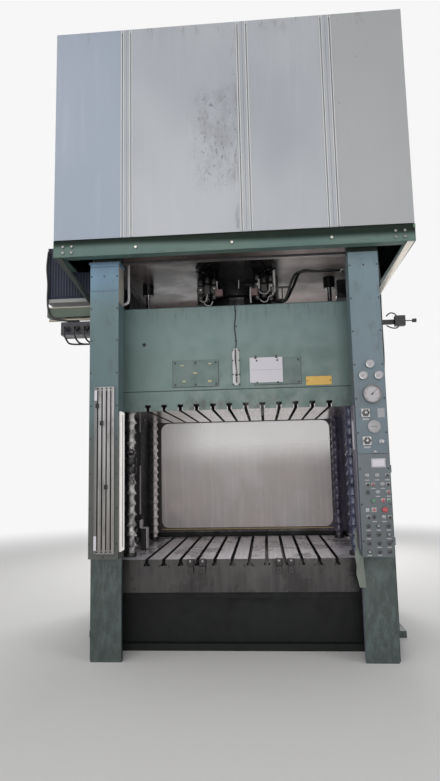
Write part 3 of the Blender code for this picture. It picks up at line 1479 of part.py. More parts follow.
# Left side
def make_cabinet():
    """A ribbed cabinet on the left upright, with a lip along its bottom edge."""
    inner = UPRIGHT_WEB_OUTER + GAP
    step = inner + CABINET_STEP_SHARE * (CABINET_OUTER - inner)
    outline = [
        (-CABINET_OUTER, CABINET_BOTTOM),
        (-inner, CABINET_BOTTOM),
        (-inner, CABINET_STEP),
        (-step, CABINET_STEP),
        (-step, CABINET_TOP),
        (-CABINET_OUTER, CABINET_TOP),
    ]
    obj = piece("side_cabinet", prism(outline, "Y", CABINET_FRONT, CABINET_BACK), navy_paint())
    low = CABINET_BOTTOM - CABINET_LIP / 2
    front = CABINET_FRONT - CABINET_LIP_PROUD
    shapes = [block(-CABINET_OUTER, -inner, front, CABINET_BACK, low, low + CABINET_LIP)]
    rib_front = CABINET_FRONT - RIB_PROUD
    rib_back = CABINET_FRONT + OVERLAP
    foot = low + CABINET_LIP - OVERLAP
    for i in range(int((CABINET_OUTER - inner - RIB_MARGIN) / RIB_PITCH)):
        left = -CABINET_OUTER + RIB_MARGIN + i * RIB_PITCH
        right = left + RIB_WIDTH
        top = (CABINET_TOP if right < -step else CABINET_STEP) - RIB_MARGIN
        shapes.append(block(left, right, rib_front, rib_back, foot, top))
    joined(obj, *shapes)


def make_side_beam():
    """A channel beam that stands out from the left upright under the cabinet."""
    inner = UPRIGHT_WEB_OUTER + GAP
    front = CABINET_FRONT
    back = front + BEAM_DEPTH
    low = BEAM_TOP - BEAM_HEIGHT
    outline = [
        (back, low),
        (front, low),
        (front, BEAM_TOP),
        (back, BEAM_TOP),
        (back, BEAM_TOP - BEAM_WALL),
        (front + BEAM_WALL, BEAM_TOP - BEAM_WALL),
        (front + BEAM_WALL, low + BEAM_WALL),
        (back, low + BEAM_WALL),
    ]
    piece("side_beam", prism(outline, "X", -CABINET_OUTER, -inner), dark_green())
    block_low = BLOCK_TOP - BLOCK_HEIGHT
    obj = piece(
        "side_valve_block",
        block(-inner - BLOCK_LENGTH, -inner, front, front + BLOCK_DEPTH, block_low, BLOCK_TOP),
        grey_enamel(),
    )
    ports = []
    for i in range(BLOCK_PORTS):
        x = -inner - BLOCK_LENGTH / 2 + (i - (BLOCK_PORTS - 1) / 2) * BLOCK_PORT_PITCH
        centre = (x, 0, (block_low + BLOCK_TOP) / 2)
        tip = front - BLOCK_PORT_LENGTH
        ports.append(rod(BLOCK_PORT_RADIUS, tip, front + OVERLAP, centre, "Y", SMALL_SIDES))
    joined(obj, *ports)


# Right side
def make_sensor():
    inner = UPRIGHT_WEB_OUTER + GAP
    end = inner + SENSOR_ARM_LENGTH
    low = SENSOR_ARM_Z - SENSOR_ARM_HEIGHT / 2
    back = SENSOR_ARM_Y + SENSOR_ARM_THICKNESS
    piece("sensor_arm", block(inner, end, SENSOR_ARM_Y, back, low, low + SENSOR_ARM_HEIGHT), black_paint())
    front = SENSOR_ARM_Y - GAP - SENSOR_BOX_DEPTH
    bottom = SENSOR_ARM_Z - SENSOR_BOX_HEIGHT / 2
    right = SENSOR_BOX_X + SENSOR_BOX_WIDTH
    obj = piece(
        "sensor_head",
        block(SENSOR_BOX_X, right, front, SENSOR_ARM_Y - GAP, bottom, bottom + SENSOR_BOX_HEIGHT),
        black_paint(),
    )
    centre = (0, front + SENSOR_BOX_DEPTH / 2, SENSOR_ARM_Z)
    neck = SENSOR_REACH - SENSOR_TIP_LENGTH
    joined(
        obj,
        rod(SENSOR_ROD_RADIUS, right - OVERLAP, neck + OVERLAP, centre, "X", SMALL_SIDES),
        rod(SENSOR_TIP_RADIUS, neck, SENSOR_REACH, centre, "X", SMALL_SIDES),
    )


cleared()
make_bed()
make_bolster()
make_uprights()
make_guide_rails()
make_crown()
make_ram()
make_access_covers()
make_position_scale()
make_main_cylinder()
make_piston()
make_pullbacks()
make_return_line()
make_tank()
make_prefill_valve()
make_pump()
make_platform()
make_braces()
make_cladding()
make_left_cover()
make_trip_rail()
make_trip_dogs()
make_right_cover()
make_gauge()
make_valve_knobs()
make_door()
make_buttons()
make_guard()
make_bellows()
make_cabinet()
make_side_beam()
make_sensor()
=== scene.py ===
import math

import bpy
import numpy as np
from mathutils import Matrix, Vector


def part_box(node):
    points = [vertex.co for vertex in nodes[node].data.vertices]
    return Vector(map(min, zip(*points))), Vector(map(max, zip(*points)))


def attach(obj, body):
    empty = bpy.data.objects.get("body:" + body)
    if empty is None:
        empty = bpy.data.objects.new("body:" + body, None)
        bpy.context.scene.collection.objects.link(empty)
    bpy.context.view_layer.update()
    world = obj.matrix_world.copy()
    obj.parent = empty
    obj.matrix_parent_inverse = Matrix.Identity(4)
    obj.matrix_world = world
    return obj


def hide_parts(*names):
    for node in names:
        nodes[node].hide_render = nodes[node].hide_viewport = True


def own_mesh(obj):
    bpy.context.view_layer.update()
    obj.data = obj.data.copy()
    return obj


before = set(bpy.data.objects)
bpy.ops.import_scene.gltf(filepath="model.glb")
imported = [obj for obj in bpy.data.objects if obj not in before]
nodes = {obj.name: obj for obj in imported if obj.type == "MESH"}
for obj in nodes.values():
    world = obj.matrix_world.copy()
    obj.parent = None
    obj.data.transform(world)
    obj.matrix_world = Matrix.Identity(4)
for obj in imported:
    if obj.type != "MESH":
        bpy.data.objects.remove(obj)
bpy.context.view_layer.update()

# View
# The press is seen from the operator's side at eye height, tilted a little up, with a
# wide lens. The camera's place and turn were fitted to the edges of the machine.
EYE = Vector((0.233, -5.932, 1.586))
YAW, PITCH, ROLL = (math.radians(angle) for angle in (-4.28, 7.4, -1.17))
FOCAL_PIXELS, FRAME_PIXELS = 576.1, 781
FILM = 36.0
FAR_CLIP = 100


def added(name, data):
    """A new object, put into the scene."""
    obj = bpy.data.objects.new(name, data)
    bpy.context.scene.collection.objects.link(obj)
    return obj


forward = Vector(
    (math.sin(YAW) * math.cos(PITCH), math.cos(YAW) * math.cos(PITCH), math.sin(PITCH))
)
level = Vector((math.cos(YAW), -math.sin(YAW), 0))
raised = level.cross(forward)
right = math.cos(ROLL) * level + math.sin(ROLL) * raised
up = -math.sin(ROLL) * level + math.cos(ROLL) * raised
lens = bpy.data.cameras.new("viewpoint")
lens.sensor_fit = "VERTICAL"
lens.sensor_height = FILM
lens.lens = FOCAL_PIXELS / FRAME_PIXELS * FILM
lens.clip_end = FAR_CLIP
viewpoint = added("viewpoint", lens)
turn = Matrix((right, up, -forward)).transposed().to_4x4()
viewpoint.matrix_world = Matrix.Translation(EYE) @ turn
bpy.context.scene.camera = viewpoint
bpy.context.scene.view_settings.view_transform = "Standard"

# Floor and light
# A pale studio floor that goes over into a white surround, and five large soft lamps: one
# high and one low in front, one at each side, and one behind for the back of the die space.
FLOOR_SIZE = 60.0
FADE_START, FADE_END = 5.5, 11.0  # where the floor turns white, in metres from the middle
SURROUND = 0.29
SHOWN_WHITE = (0.93, 0.93, 0.93)
LAMP_COLOUR = (1.0, 0.985, 0.96)
LAMPS = (
    # place, aim, size, watts
    ((-3.2, -7.5, 7.8), (0, 0, 2.8), 5.0, 165),
    ((6.0, -5.0, 4.5), (0, 0, 2.4), 4.0, 100),
    ((-6.5, -2.5, 3.0), (0, 0, 2.4), 3.5, 45),
    ((0.3, -10.0, 2.2), (0, 0, 1.9), 4.0, 265),
    ((0.5, 5.5, 4.5), (0, 0.8, 1.6), 4.0, 290),
)


def connect(owner, inputs):
    """Links each input of a node to an output, or sets it to a number, vector or colour."""
    for name, value in inputs.items():
        socket = owner.inputs[name]
        if isinstance(value, bpy.types.NodeSocket):
            owner.id_data.links.new(value, socket)
        else:
            socket.default_value = (*value, 1) if socket.type == "RGBA" else value


def node(tree, kind, inputs, output=0, **settings):
    """One output of a new shader node with these settings and inputs."""
    made = tree.nodes.new("ShaderNode" + kind)
    for name, value in settings.items():
        setattr(made, name, value)
    connect(made, inputs)
    return made.outputs[output]


def camera_ray_white(tree, dim, white):
    """A colour that is `white` for camera, mirror and glass rays, and `dim` for lighting."""
    path = tree.nodes.new("ShaderNodeLightPath").outputs
    seen = path["Is Camera Ray"]
    for name in ("Is Glossy Ray", "Is Transmission Ray"):
        seen = node(tree, "Math", {0: seen, 1: path[name]}, operation="MAXIMUM")
    return node(tree, "Mix", {"A": dim, "B": white, "Factor": seen}, "Result", data_type="RGBA")


world = bpy.data.worlds.new("studio")
world.use_nodes = True
bpy.context.scene.world = world
dim = (SURROUND, SURROUND, SURROUND * 1.04)
shown = camera_ray_white(world.node_tree, dim, SHOWN_WHITE)
connect(world.node_tree.nodes["Background"], {"Color": shown})

for number, (place, aim, size, watts) in enumerate(LAMPS):
    lamp = bpy.data.lights.new(f"softbox_{number}", "AREA")
    lamp.size = size
    lamp.energy = watts
    lamp.color = LAMP_COLOUR
    aiming = (Vector(aim) - Vector(place)).to_track_quat("-Z", "Y").to_matrix().to_4x4()
    added(lamp.name, lamp).matrix_world = Matrix.Translation(place) @ aiming

half = FLOOR_SIZE / 2
floor_mesh = bpy.data.meshes.new("studio_floor")
corners = [(-half, -half, 0), (half, -half, 0), (half, half, 0), (-half, half, 0)]
floor_mesh.from_pydata(corners, [], [(0, 1, 2, 3)])
floor = added("studio_floor", floor_mesh)
pale = bpy.data.materials.new("studio_floor")
pale.use_nodes = True
tree = pale.node_tree
shader = tree.nodes["Principled BSDF"]
connect(shader, {"Base Color": (0.8, 0.8, 0.79), "Roughness": 0.85})
place = node(tree, "TexCoord", {}, "Object")
distance = node(tree, "VectorMath", {0: place}, "Value", operation="LENGTH")
reach = {"Value": distance, "From Min": FADE_START, "From Max": FADE_END}
fade = node(tree, "MapRange", reach, "Result", interpolation_type="SMOOTHSTEP")
seen = camera_ray_white(tree, (0, 0, 0), (1, 1, 1))
share = node(tree, "Math", {0: fade, 1: seen}, operation="MULTIPLY")
far = node(tree, "Emission", {"Color": SHOWN_WHITE})
both = node(tree, "MixShader", {0: share, 1: shader.outputs[0], 2: far})
connect(tree.nodes["Material Output"], {"Surface": both})
floor_mesh.materials.append(pale)

# Bed and bolster
# The bed is a heavy welded box under a dark, oily coat of paint. On it lies the bolster,
# a thick plate of ground steel with twelve T-slots, grey and oily, with long streaks along
# the slots, dark pools of oil, drilled holes in its front edge and four clamps.
EVEN = (1, 1, 1)
SHARP_ANGLE = math.radians(35)


class Paint:
    """A material in the making: its Principled shader, the colour mixed so far, and node
    outputs that say how colour and gloss vary over the surface."""

    def __init__(self, name):
        self.made = bpy.data.materials.new(name)
        self.made.use_nodes = True
        self.tree = self.made.node_tree
        self.shader = self.tree.nodes["Principled BSDF"]
        self.colour = None

    def node(self, kind, inputs, output=0, **settings):
        """One output of a new node in this material."""
        return node(self.tree, kind, inputs, output, **settings)

    def place(self, axis, kind="Object"):
        """One object coordinate in metres, or with "Normal" one part of the direction."""
        return self.node("SeparateXYZ", {0: self.node("TexCoord", {}, kind)}, axis)

    def maths(self, operation, a, b):
        """A sum, difference, product or the like of two values."""
        return self.node("Math", {0: a, 1: b}, operation=operation)

    def times(self, *values):
        """The product of values, each a number or an output."""
        product = values[0]
        for value in values[1:]:
            product = self.maths("MULTIPLY", product, value)
        return product

    def between(self, value, low, high, to_low=0.0, to_high=1.0):
        """Maps low..high of a value to to_low..to_high, clamped."""
        ends = {"From Min": low, "From Max": high, "To Min": to_low, "To Max": to_high}
        inputs = {"Value": value, **ends}
        return self.node("MapRange", inputs, "Result", interpolation_type="SMOOTHSTEP")

    def along(self, axis, low, high, to_low=0.0, to_high=1.0):
        """The same for one object coordinate in metres."""
        return self.between(self.place(axis), low, high, to_low, to_high)

    def facing(self, axis, sign=1):
        """1 where a face looks along +axis (or -axis), else 0."""
        return self.between(self.times(self.place(axis, "Normal"), sign), 0.45, 0.55)

    def noise(self, size, stretch=EVEN, detail=4.0, rough=0.55):
        """Noise whose patches are about `size` metres, longer along axes of small `stretch`."""
        place = self.node("TexCoord", {}, "Object")
        place = self.node("Mapping", {"Scale": stretch, "Vector": place}, vector_type="POINT")
        inputs = {"Scale": 1 / size, "Detail": detail, "Roughness": rough, "Vector": place}
        return self.node("TexNoise", inputs, "Fac")

    def cloud(self, size, stretch, detail, rough, low, high, to_low=0.0, to_high=1.0):
        """That noise with low..high spread over to_low..to_high."""
        return self.between(self.noise(size, stretch, detail, rough), low, high, to_low, to_high)

    def mix(self, share, a, b):
        """From colour a to colour b by a share of 0 to 1."""
        settings = {"data_type": "RGBA", "blend_type": "MIX", "clamp_factor": True}
        return self.node("Mix", {"Factor": share, "A": a, "B": b}, "Result", **settings)

    def base(self, share, a, b):
        """Starts the colour as a mix of two."""
        self.colour = self.mix(share, a, b)

    def over(self, colour, *shares):
        """Lays a colour over what is mixed so far, by the product of the shares."""
        self.colour = self.mix(self.times(*shares), self.colour, colour)

    def bump(self, height, strength, distance):
        """Raises the surface by a height of 0 to 1 times a distance in metres."""
        inputs = {"Strength": strength, "Distance": distance, "Height": height}
        self.set(Normal=self.node("Bump", inputs, "Normal"))

    def set(self, **inputs):
        """Links or sets inputs of the shader, with an underscore for each space."""
        connect(self.shader, {name.replace("_", " "): value for name, value in inputs.items()})
        return self

    def done(self, **inputs):
        """Gives the shader the mixed colour and these inputs."""
        return self.set(Base_Color=self.colour, **inputs)


def wear(paint, *names):
    """Gives CAD nodes a material."""
    for name in names:
        mesh = nodes[name].data
        mesh.materials.clear()
        mesh.materials.append(paint.made)


def boxes(rows):
    """Closed boxes, each row a low corner and a high one: points and faces. Point i of a box
    takes its x, y and z from the corner that bits 0, 1 and 2 of i say."""
    corners = np.array(rows, float).reshape(-1, 1, 2, 3)
    pick = (np.arange(8)[:, None] >> np.arange(3)) & 1
    points = np.where(pick[None], corners[:, :, 1], corners[:, :, 0]).reshape(-1, 3)
    face = [[0, 2, 3, 1], [4, 5, 7, 6], [0, 1, 5, 4], [2, 6, 7, 3], [0, 4, 6, 2], [1, 3, 7, 5]]
    faces = np.array(face)[None] + 8 * np.arange(len(corners))[:, None, None]
    return points, faces.reshape(-1, 4).tolist()


def around(places, low, high):
    """Rows for boxes that reach from `low` to `high` past each place."""
    places = np.array(places, float)
    return np.stack((places + low, places + high), 1)


def tube_faces(rows, sides, flip=False):
    """Four-sided faces between rings of `sides` points, and a flat face at each end."""
    here = np.arange((rows - 1) * sides).reshape(rows - 1, sides)
    after = np.roll(here, -1, axis=1)
    order = (here, after, after + sides, here + sides)
    ends = [list(range(sides - 1, -1, -1)), list(range((rows - 1) * sides, rows * sides))]
    if flip:
        order = order[:1] + order[:0:-1]
        ends = [end[::-1] for end in ends]
    return np.stack(order, -1).reshape(-1, 4).tolist() + ends


def turned(profile, centres, sides=24, axis="Y"):
    """The same turned shape at each centre: radius times the cosine and sine of the angle,
    and a distance along the axis. `profile` lists (radius, distance) from the far end to
    the near one, and both its ends are closed by flat discs."""
    profile = np.array(profile, float)
    centres = np.array(centres, float)
    if profile[0, 1] < profile[-1, 1]:
        profile = profile[::-1]
    angle = 2 * np.pi * np.arange(sides) / sides
    radius, distance = profile[:, :1], profile[:, 1:]
    a, b, c = radius * np.cos(angle), radius * np.sin(angle), distance + 0 * angle
    order = {"X": (c, a, b), "Y": (b, c, a), "Z": (a, b, c)}[axis]
    outline = np.stack(order, -1).reshape(-1, 3)
    rows = tube_faces(len(profile), sides, flip=True)
    starts = range(0, len(centres) * len(outline), len(outline))
    faces = [[i + start for i in row] for start in starts for row in rows]
    return (centres[:, None] + outline[None]).reshape(-1, 3), faces


def shape(name, paint, *parts, body="frame", bevel=0.0, smooth=True):
    """One object of closed parts, riding on a body, with softened edges."""
    points, faces, count = [], [], 0
    for more, rows in parts:
        points.append(more)
        faces += [[i + count for i in row] for row in rows]
        count += len(more)
    mesh = bpy.data.meshes.new(name)
    mesh.from_pydata(np.vstack(points).tolist(), [], faces)
    mesh.materials.append(paint.made)
    if smooth:
        mesh.shade_smooth()
        mesh.set_sharp_from_angle(angle=SHARP_ANGLE)
    obj = added(name, mesh)
    if bevel:
        edge = obj.modifiers.new("edges", "BEVEL")
        edge.width = bevel
        edge.segments = 2
        edge.limit_method = "ANGLE"
    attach(obj, body)
    return obj


def plain(name, colour, roughness=0.5, metallic=0.0, coat=0.0):
    """A small fitting's finish, the same all over."""
    paint = Paint(name)
    paint.colour = colour
    return paint.done(Roughness=roughness, Metallic=metallic, Coat_Weight=coat)


def bolster_steel():
    """Ground top with streaks along the slots, its pale colour and pale streaks partly a painted
    reflection of bright light from behind, dark slots, and darker sides with vertical streaks and
    smudges."""
    paint = Paint("bolster_steel")
    # The top's pale steel colour is partly a painted reflection of bright light from behind.
    fine = paint.cloud(0.014, (1, 0.02, 1), 3.0, 0.6, 0.3, 0.72)
    paint.base(fine, (0.76, 0.73, 0.78), (0.96, 0.93, 0.98))
    oil = paint.cloud(0.28, (1, 0.6, 1), 5.0, 0.62, 0.44, 0.66)
    paint.over((0.13, 0.122, 0.13), oil, 0.52)
    # Pale bluish streaks: a painted reflection of bright light from behind.
    reflection_streaks = paint.cloud(0.1, (1, 0.15, 1), 6.0, 0.7, 0.6, 0.72)
    paint.over((0.88, 0.87, 0.9), reflection_streaks, 0.5)
    top = paint.colour
    streaks = paint.cloud(0.04, (1, 1, 0.08), 6.0, 0.62, 0.34, 0.7)
    paint.base(streaks, (0.02, 0.019, 0.019), (0.047, 0.044, 0.044))
    hands = paint.cloud(0.26, (1, 1, 0.7), 3.0, 0.5, 0.42, 0.75)
    paint.over((0.095, 0.09, 0.088), hands, 0.45)
    flat = paint.times(paint.facing("Z"), paint.along("Z", 0.776, 0.779))
    paint.over(top, flat)
    gloss = paint.between(oil, 0.0, 1.0, 0.34, 0.2)
    return paint.done(Roughness=gloss, Metallic=paint.between(flat, 0.0, 1.0, 0.25, 0.45))


def painted(name, colour, worn, grime_and_shade=0.5, roughness=0.42, low=None):
    """Machine paint in one colour: broad fading, small chips to `worn`, soot in clouds, and below
    the height `low` a darker band, partly oil and partly painted shade under the covers above."""

    def tone(share):
        return tuple(share * part for part in colour)

    paint = Paint(name)
    paint.base(paint.cloud(0.75, (1, 1, 0.6), 3.0, 0.55, 0.33, 0.68), tone(0.84), tone(1.13))
    paint.over(tone(0.35), paint.cloud(0.16, (1, 1, 0.45), 7.0, 0.66, 0.47, 0.74), grime_and_shade)
    # Below `low`: a darker band, partly oil and partly painted shade under what stands above.
    if low is not None:
        band = paint.along("Z", low, low + 0.25, 1.0, 0.0)
        patchy = paint.cloud(0.05, (1, 1, 0.4), 6.0, 0.7, 0.35, 0.62)
        paint.over(tone(0.3), band, patchy, 0.7)
    paint.over(worn, paint.cloud(0.022, EVEN, 6.0, 0.7, 0.7, 0.735), 0.7)
    paint.bump(paint.noise(0.008, detail=2.0), 0.1, 0.001)
    gloss = (roughness - 0.1, roughness + 0.14)
    return paint.done(Roughness=paint.cloud(0.11, EVEN, 6.0, 0.55, 0.3, 0.7, *gloss))


bed_paint = painted("bed_paint", (0.007, 0.009, 0.008), (0.06, 0.055, 0.045), 0.7, 0.5)
bed_paint.set(Specular_IOR_Level=0.2)
wear(bed_paint, "bed")
wear(bolster_steel(), "bolster")

BOLSTER_FRONT = -0.8
CLAMP_X = (-0.435, -0.328, 0.327, 0.43)
HOLE_X = (-0.713, -0.63, 0.031, 0.108, 0.634, 0.71)
bore_black = plain("bore_black", (0.006, 0.006, 0.006), 0.6)
blued = plain("blued_steel", (0.01, 0.01, 0.011), 0.4, 0.3)
worn_steel = plain("worn_steel", (0.22, 0.21, 0.21), 0.34, 0.7)
clamp_steel = plain("clamp_steel", (0.034, 0.032, 0.032), 0.38, 0.5)

# The threaded holes for lifting eyes show as black discs just proud of the plate's front: painted
# shade for the holes' dark insides.
holes = [(x, BOLSTER_FRONT, 0.722) for x in HOLE_X]
shape("bolster_holes", bore_black, turned([(0.01, -0.0006), (0.01, 0.004)], holes, 20))
clamps = [(x, BOLSTER_FRONT, 0) for x in CLAMP_X]
for name, paint, low, high, soft in (
    ("clamp_jaws", blued, (-0.03, -0.052, 0.736), (0.03, -0.02, 0.786), 0.003),
    ("clamp_noses", clamp_steel, (-0.024, -0.056, 0.744), (0.024, -0.05, 0.756), 0.002),
    ("clamp_feet", clamp_steel, (-0.024, -0.042, 0.662), (0.024, -0.02, 0.722), 0.003),
):
    shape(name, paint, boxes(around(clamps, low, high)), bevel=soft)
bolt = [(0.01, -0.008), (0.011, -0.006), (0.011, 0.01)]
bolts = [(x, BOLSTER_FRONT - 0.052, 0.772) for x in CLAMP_X]
shape("clamp_bolts", worn_steel, turned(bolt, bolts, 6))
# The holes in the clamp feet are black discs too: painted shade inside them.
dots = [(x, BOLSTER_FRONT - 0.042, 0.692) for x in CLAMP_X]
shape("clamp_holes", bore_black, turned([(0.01, -0.0005), (0.01, 0.004)], dots, 16))

# Uprights and guide rails
# Each upright is one welded column: a green front flange and a web behind it. Its faces towards
# the die space are painted near black as shade on the left and navy as hazy light on the right.
# The hardened guide rails on the inner faces are bright where the shoes run and carry old brown
# grease; their tones are painted dark as shade on the left and navy as hazy light on the right.


def upright_paint(name, sign, dark, light):
    """Green outside; on the faces that look at the die space, a cloudy mix of two given tones:
    painted shade on the left upright, painted hazy light on the right.
    """
    paint = painted(name, (0.066, 0.094, 0.09), (0.2, 0.2, 0.18), 0.55, 0.45, 0.75)
    # Inner faces: the two given tones of painted shade or hazy light, mixed in clouds.
    shade_share = paint.cloud(0.3, (1, 1, 0.4), 5.0, 0.55, 0.35, 0.65)
    paint.over(paint.mix(shade_share, dark, light), paint.facing("X", sign))
    return paint.done()


def guide_steel(name, dark, light, metal, gloss):
    """Steel with fine upright lines and brown grease over it."""
    paint = Paint(name)
    paint.base(paint.cloud(0.008, (1, 1, 0.02), 3.0, 0.55, 0.3, 0.7), dark, light)
    grease = paint.cloud(0.2, (1, 1, 0.3), 6.0, 0.65, 0.46, 0.62)
    paint.over((0.02, 0.017, 0.015), grease, 0.75)
    return paint.done(Metallic=metal, Roughness=0.45, Specular_IOR_Level=gloss)


# Inner tones: near black as painted shade on the left, navy as painted hazy light on the right.
left_inside_shade = ((0.006, 0.01, 0.014), (0.018, 0.024, 0.032))
right_inside_haze = ((0.075, 0.074, 0.135), (0.175, 0.17, 0.255))
wear(upright_paint("upright_paint_left", 1, *left_inside_shade), "upright_left")
wear(upright_paint("upright_paint_right", -1, *right_inside_haze), "upright_right")
# Guide rail tones: dark as painted shade on the left, navy as painted hazy light on the right.
left_guide_shade = ((0.008, 0.008, 0.011), (0.02, 0.019, 0.023), 0.0, 0.03)
right_guide_haze = ((0.06, 0.058, 0.095), (0.11, 0.106, 0.15), 0.4, 0.25)
wear(guide_steel("greased_shaded_guide_left", *left_guide_shade), "guide_rail_left")
wear(guide_steel("greased_hazed_guide_right", *right_guide_haze), "guide_rail_right")


def bent(path, radius, sides=10, smooth=6):
    """A round bar or hose along a path of points, rounded by a Catmull-Rom curve: at each
    step a ring, radius times the cosine and sine of the angle across the path."""
    path = np.array(path, float)
    ends = np.vstack((2 * path[0] - path[1], path, 2 * path[-1] - path[-2]))
    t = (np.arange(smooth) / smooth)[None, :, None]
    a, b, c, d = (ends[i : len(ends) - 3 + i][:, None] for i in range(4))
    curve = 2 * b + (c - a) * t + (2 * a - 5 * b + 4 * c - d) * t**2
    curve = (curve + (3 * b - 3 * c + d - a) * t**3) / 2
    path = np.vstack((curve.reshape(-1, 3), path[-1]))
    ahead = np.gradient(path, axis=0)
    ahead /= np.linalg.norm(ahead, axis=1)[:, None]
    reference = np.eye(3)[np.argmin(np.abs(ahead).max(axis=0))]
    side = np.cross(ahead, reference)
    side /= np.linalg.norm(side, axis=1)[:, None]
    across = np.cross(ahead, side)
    angle = 2 * np.pi * np.arange(sides) / sides
    ring = side[:, None] * np.cos(angle)[:, None] + across[:, None] * np.sin(angle)[:, None]
    return (path[:, None] + radius * ring).reshape(-1, 3), tube_faces(len(path), sides)


# Bright strips behind the left shoe's path, and a limit switch on the bolster's edge.
strip_steel = plain("strip_steel", (0.46, 0.44, 0.45), 0.35, 0.2)
strips = [(-1.106, 0.203, 1.09, -1.101, 0.256, 1.6), (-1.106, 0.205, 1.96, -1.101, 0.25, 2.11)]
shape("rail_strips_left", strip_steel, boxes(strips), bevel=0.001)
case = [(-1.004, -0.21, 0.7805, -0.95, -0.11, 0.985), (-1.062, -0.19, 0.99, -1.012, -0.12, 1.06)]
shape("limit_switch", blued, boxes(case), bevel=0.003)
edge = [
    (-0.951, -0.206, 0.79, -0.943, -0.114, 0.984),
    (-1.006, -0.206, 0.984, -0.948, -0.114, 0.992),
    (-1.016, -0.212, 0.99, -1.0, -0.118, 1.066),
]
shape("switch_edge", strip_steel, boxes(edge), bevel=0.001)
lead = [
    (-1.04, -0.215, 0.985), (-1.055, -0.23, 0.93), (-1.03, -0.235, 0.88),
    (-1.055, -0.235, 0.85), (-1.03, -0.23, 0.815), (-1.05, -0.22, 0.79),
]
shape("switch_lead", plain("lead_grey", (0.13, 0.12, 0.12), 0.45), bent(lead, 0.008, 8))

# Crown, main cylinder and hydraulics
# The crown is a welded box with a sooty, smudged underside, painted paler towards +X as light from
# that side and black round the cylinder as a painted reflection of it. The black main cylinder
# hangs through it; its gland is held by a ring of cap screws, with valve blocks, pipe unions and
# hoses around it, all oily black with a few bright zinc-plated nuts.


def patch(paint, low, high, soft):
    """1 inside a box of object coordinates, falling to 0 over `soft` metres outside it.
    A None leaves that axis open."""
    shares = []
    for axis, a, b in zip("XYZ", low, high):
        if a is not None:
            value = paint.place(axis)
            fall = paint.between(value, b, b + soft, 1.0, 0.0)
            shares.append(paint.times(paint.between(value, a - soft, a), fall))
    return paint.times(*shares)


def sooted(name, colour, dark, amount, right=None):
    """Sooty paint in broad clouds; with `right`, it turns to that paler colour towards +X as
    painted light from that side, and is black round the cylinder as a painted reflection of it."""
    paint = Paint(name)
    paint.colour = colour
    if right:
        # Paler towards +X: painted light from that side.
        across = paint.along("X", 0.0, 0.6)
        paint.over(right, across)
        amount = paint.between(across, 0.0, 1.0, amount, 0.45 * amount)
    broad = paint.cloud(0.55, EVEN, 6.0, 0.6, 0.36, 0.64)
    paint.over(dark, broad, amount)
    wiped = paint.cloud(0.12, (0.4, 1, 1), 7.0, 0.7, 0.55, 0.75)
    paint.over((0.62, 0.56, 0.52) if right else (0.05, 0.05, 0.05), wiped, 0.3)
    rough = paint.between(broad, 0.0, 1.0, 0.14, 0.34)
    if right:
        # A black patch round the cylinder: a painted reflection of the black cylinder in the
        # glossy underside.
        oil = patch(paint, (-0.37, -0.78, 3.5), (0.4, 0.78, 3.53), 0.09)
        paint.over((0.008, 0.008, 0.01), oil, 0.94)
        rough = paint.maths("ADD", rough, paint.between(across, 0.3, 1.0, 0.0, 0.22))
    return paint.done(Roughness=rough)


# The crown's colours: sooty paint, soot, and a paler colour towards +X that is painted light.
crown_soot_and_light = ((0.27, 0.215, 0.205), (0.08, 0.066, 0.066), 0.7, (0.95, 0.82, 0.79))
cylinder_black = sooted("oily_black_paint", (0.01, 0.01, 0.012), (0.003, 0.003, 0.004), 0.8)
zinc = plain("zinc_plate", (0.52, 0.5, 0.46), 0.34, 0.85)
hose_black = plain("hose_rubber", (0.012, 0.012, 0.013), 0.45)
fitting_grey = plain("oily_fitting", (0.055, 0.053, 0.052), 0.33, 0.5)
chrome = plain("polished_rod", (0.62, 0.62, 0.62), 0.16, 1.0)
enamel = painted("grey_enamel_paint", (0.07, 0.075, 0.078), (0.16, 0.15, 0.14), 0.6, 0.4)
block_paint = painted("oily_block_paint", (0.022, 0.023, 0.034), (0.08, 0.08, 0.1), 0.6, 0.4)
wear(sooted("sooted_crown_paint", *crown_soot_and_light), "crown")
wear(cylinder_black, "main_cylinder", "gland_ring")
wear(cylinder_black, "pullback_cylinder_left", "pullback_cylinder_right")
wear(chrome, "piston", "pullback_rod_left", "pullback_rod_right")
wear(enamel, "oil_tank", "prefill_valve", "pump_motor")
wear(block_paint, "side_valve_block")
wear(hose_black, "return_line", "ram_cable")

GLAND_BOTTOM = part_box("gland_ring")[0][2] + 0.020
GLAND_SCREW_RING = 0.335
angle = 2 * np.pi * (np.arange(20) + 0.5) / 20
screw_x, screw_y = GLAND_SCREW_RING * np.cos(angle), GLAND_SCREW_RING * np.sin(angle)
ring = np.stack((screw_x, screw_y, 0 * angle + GLAND_BOTTOM), 1)
cap_screw = [(0.013, -0.022), (0.0145, -0.02), (0.0145, 0.004)]
shape("gland_screws", fitting_grey, turned(cap_screw, ring, 16, "Z"))
band = [(0.434, -0.011), (0.439, -0.008), (0.439, 0.008), (0.434, 0.011)]
shape("cylinder_bands", cylinder_black, turned(band, [(0, 0, 3.25), (0, 0, 3.4)], 72, "Z"))

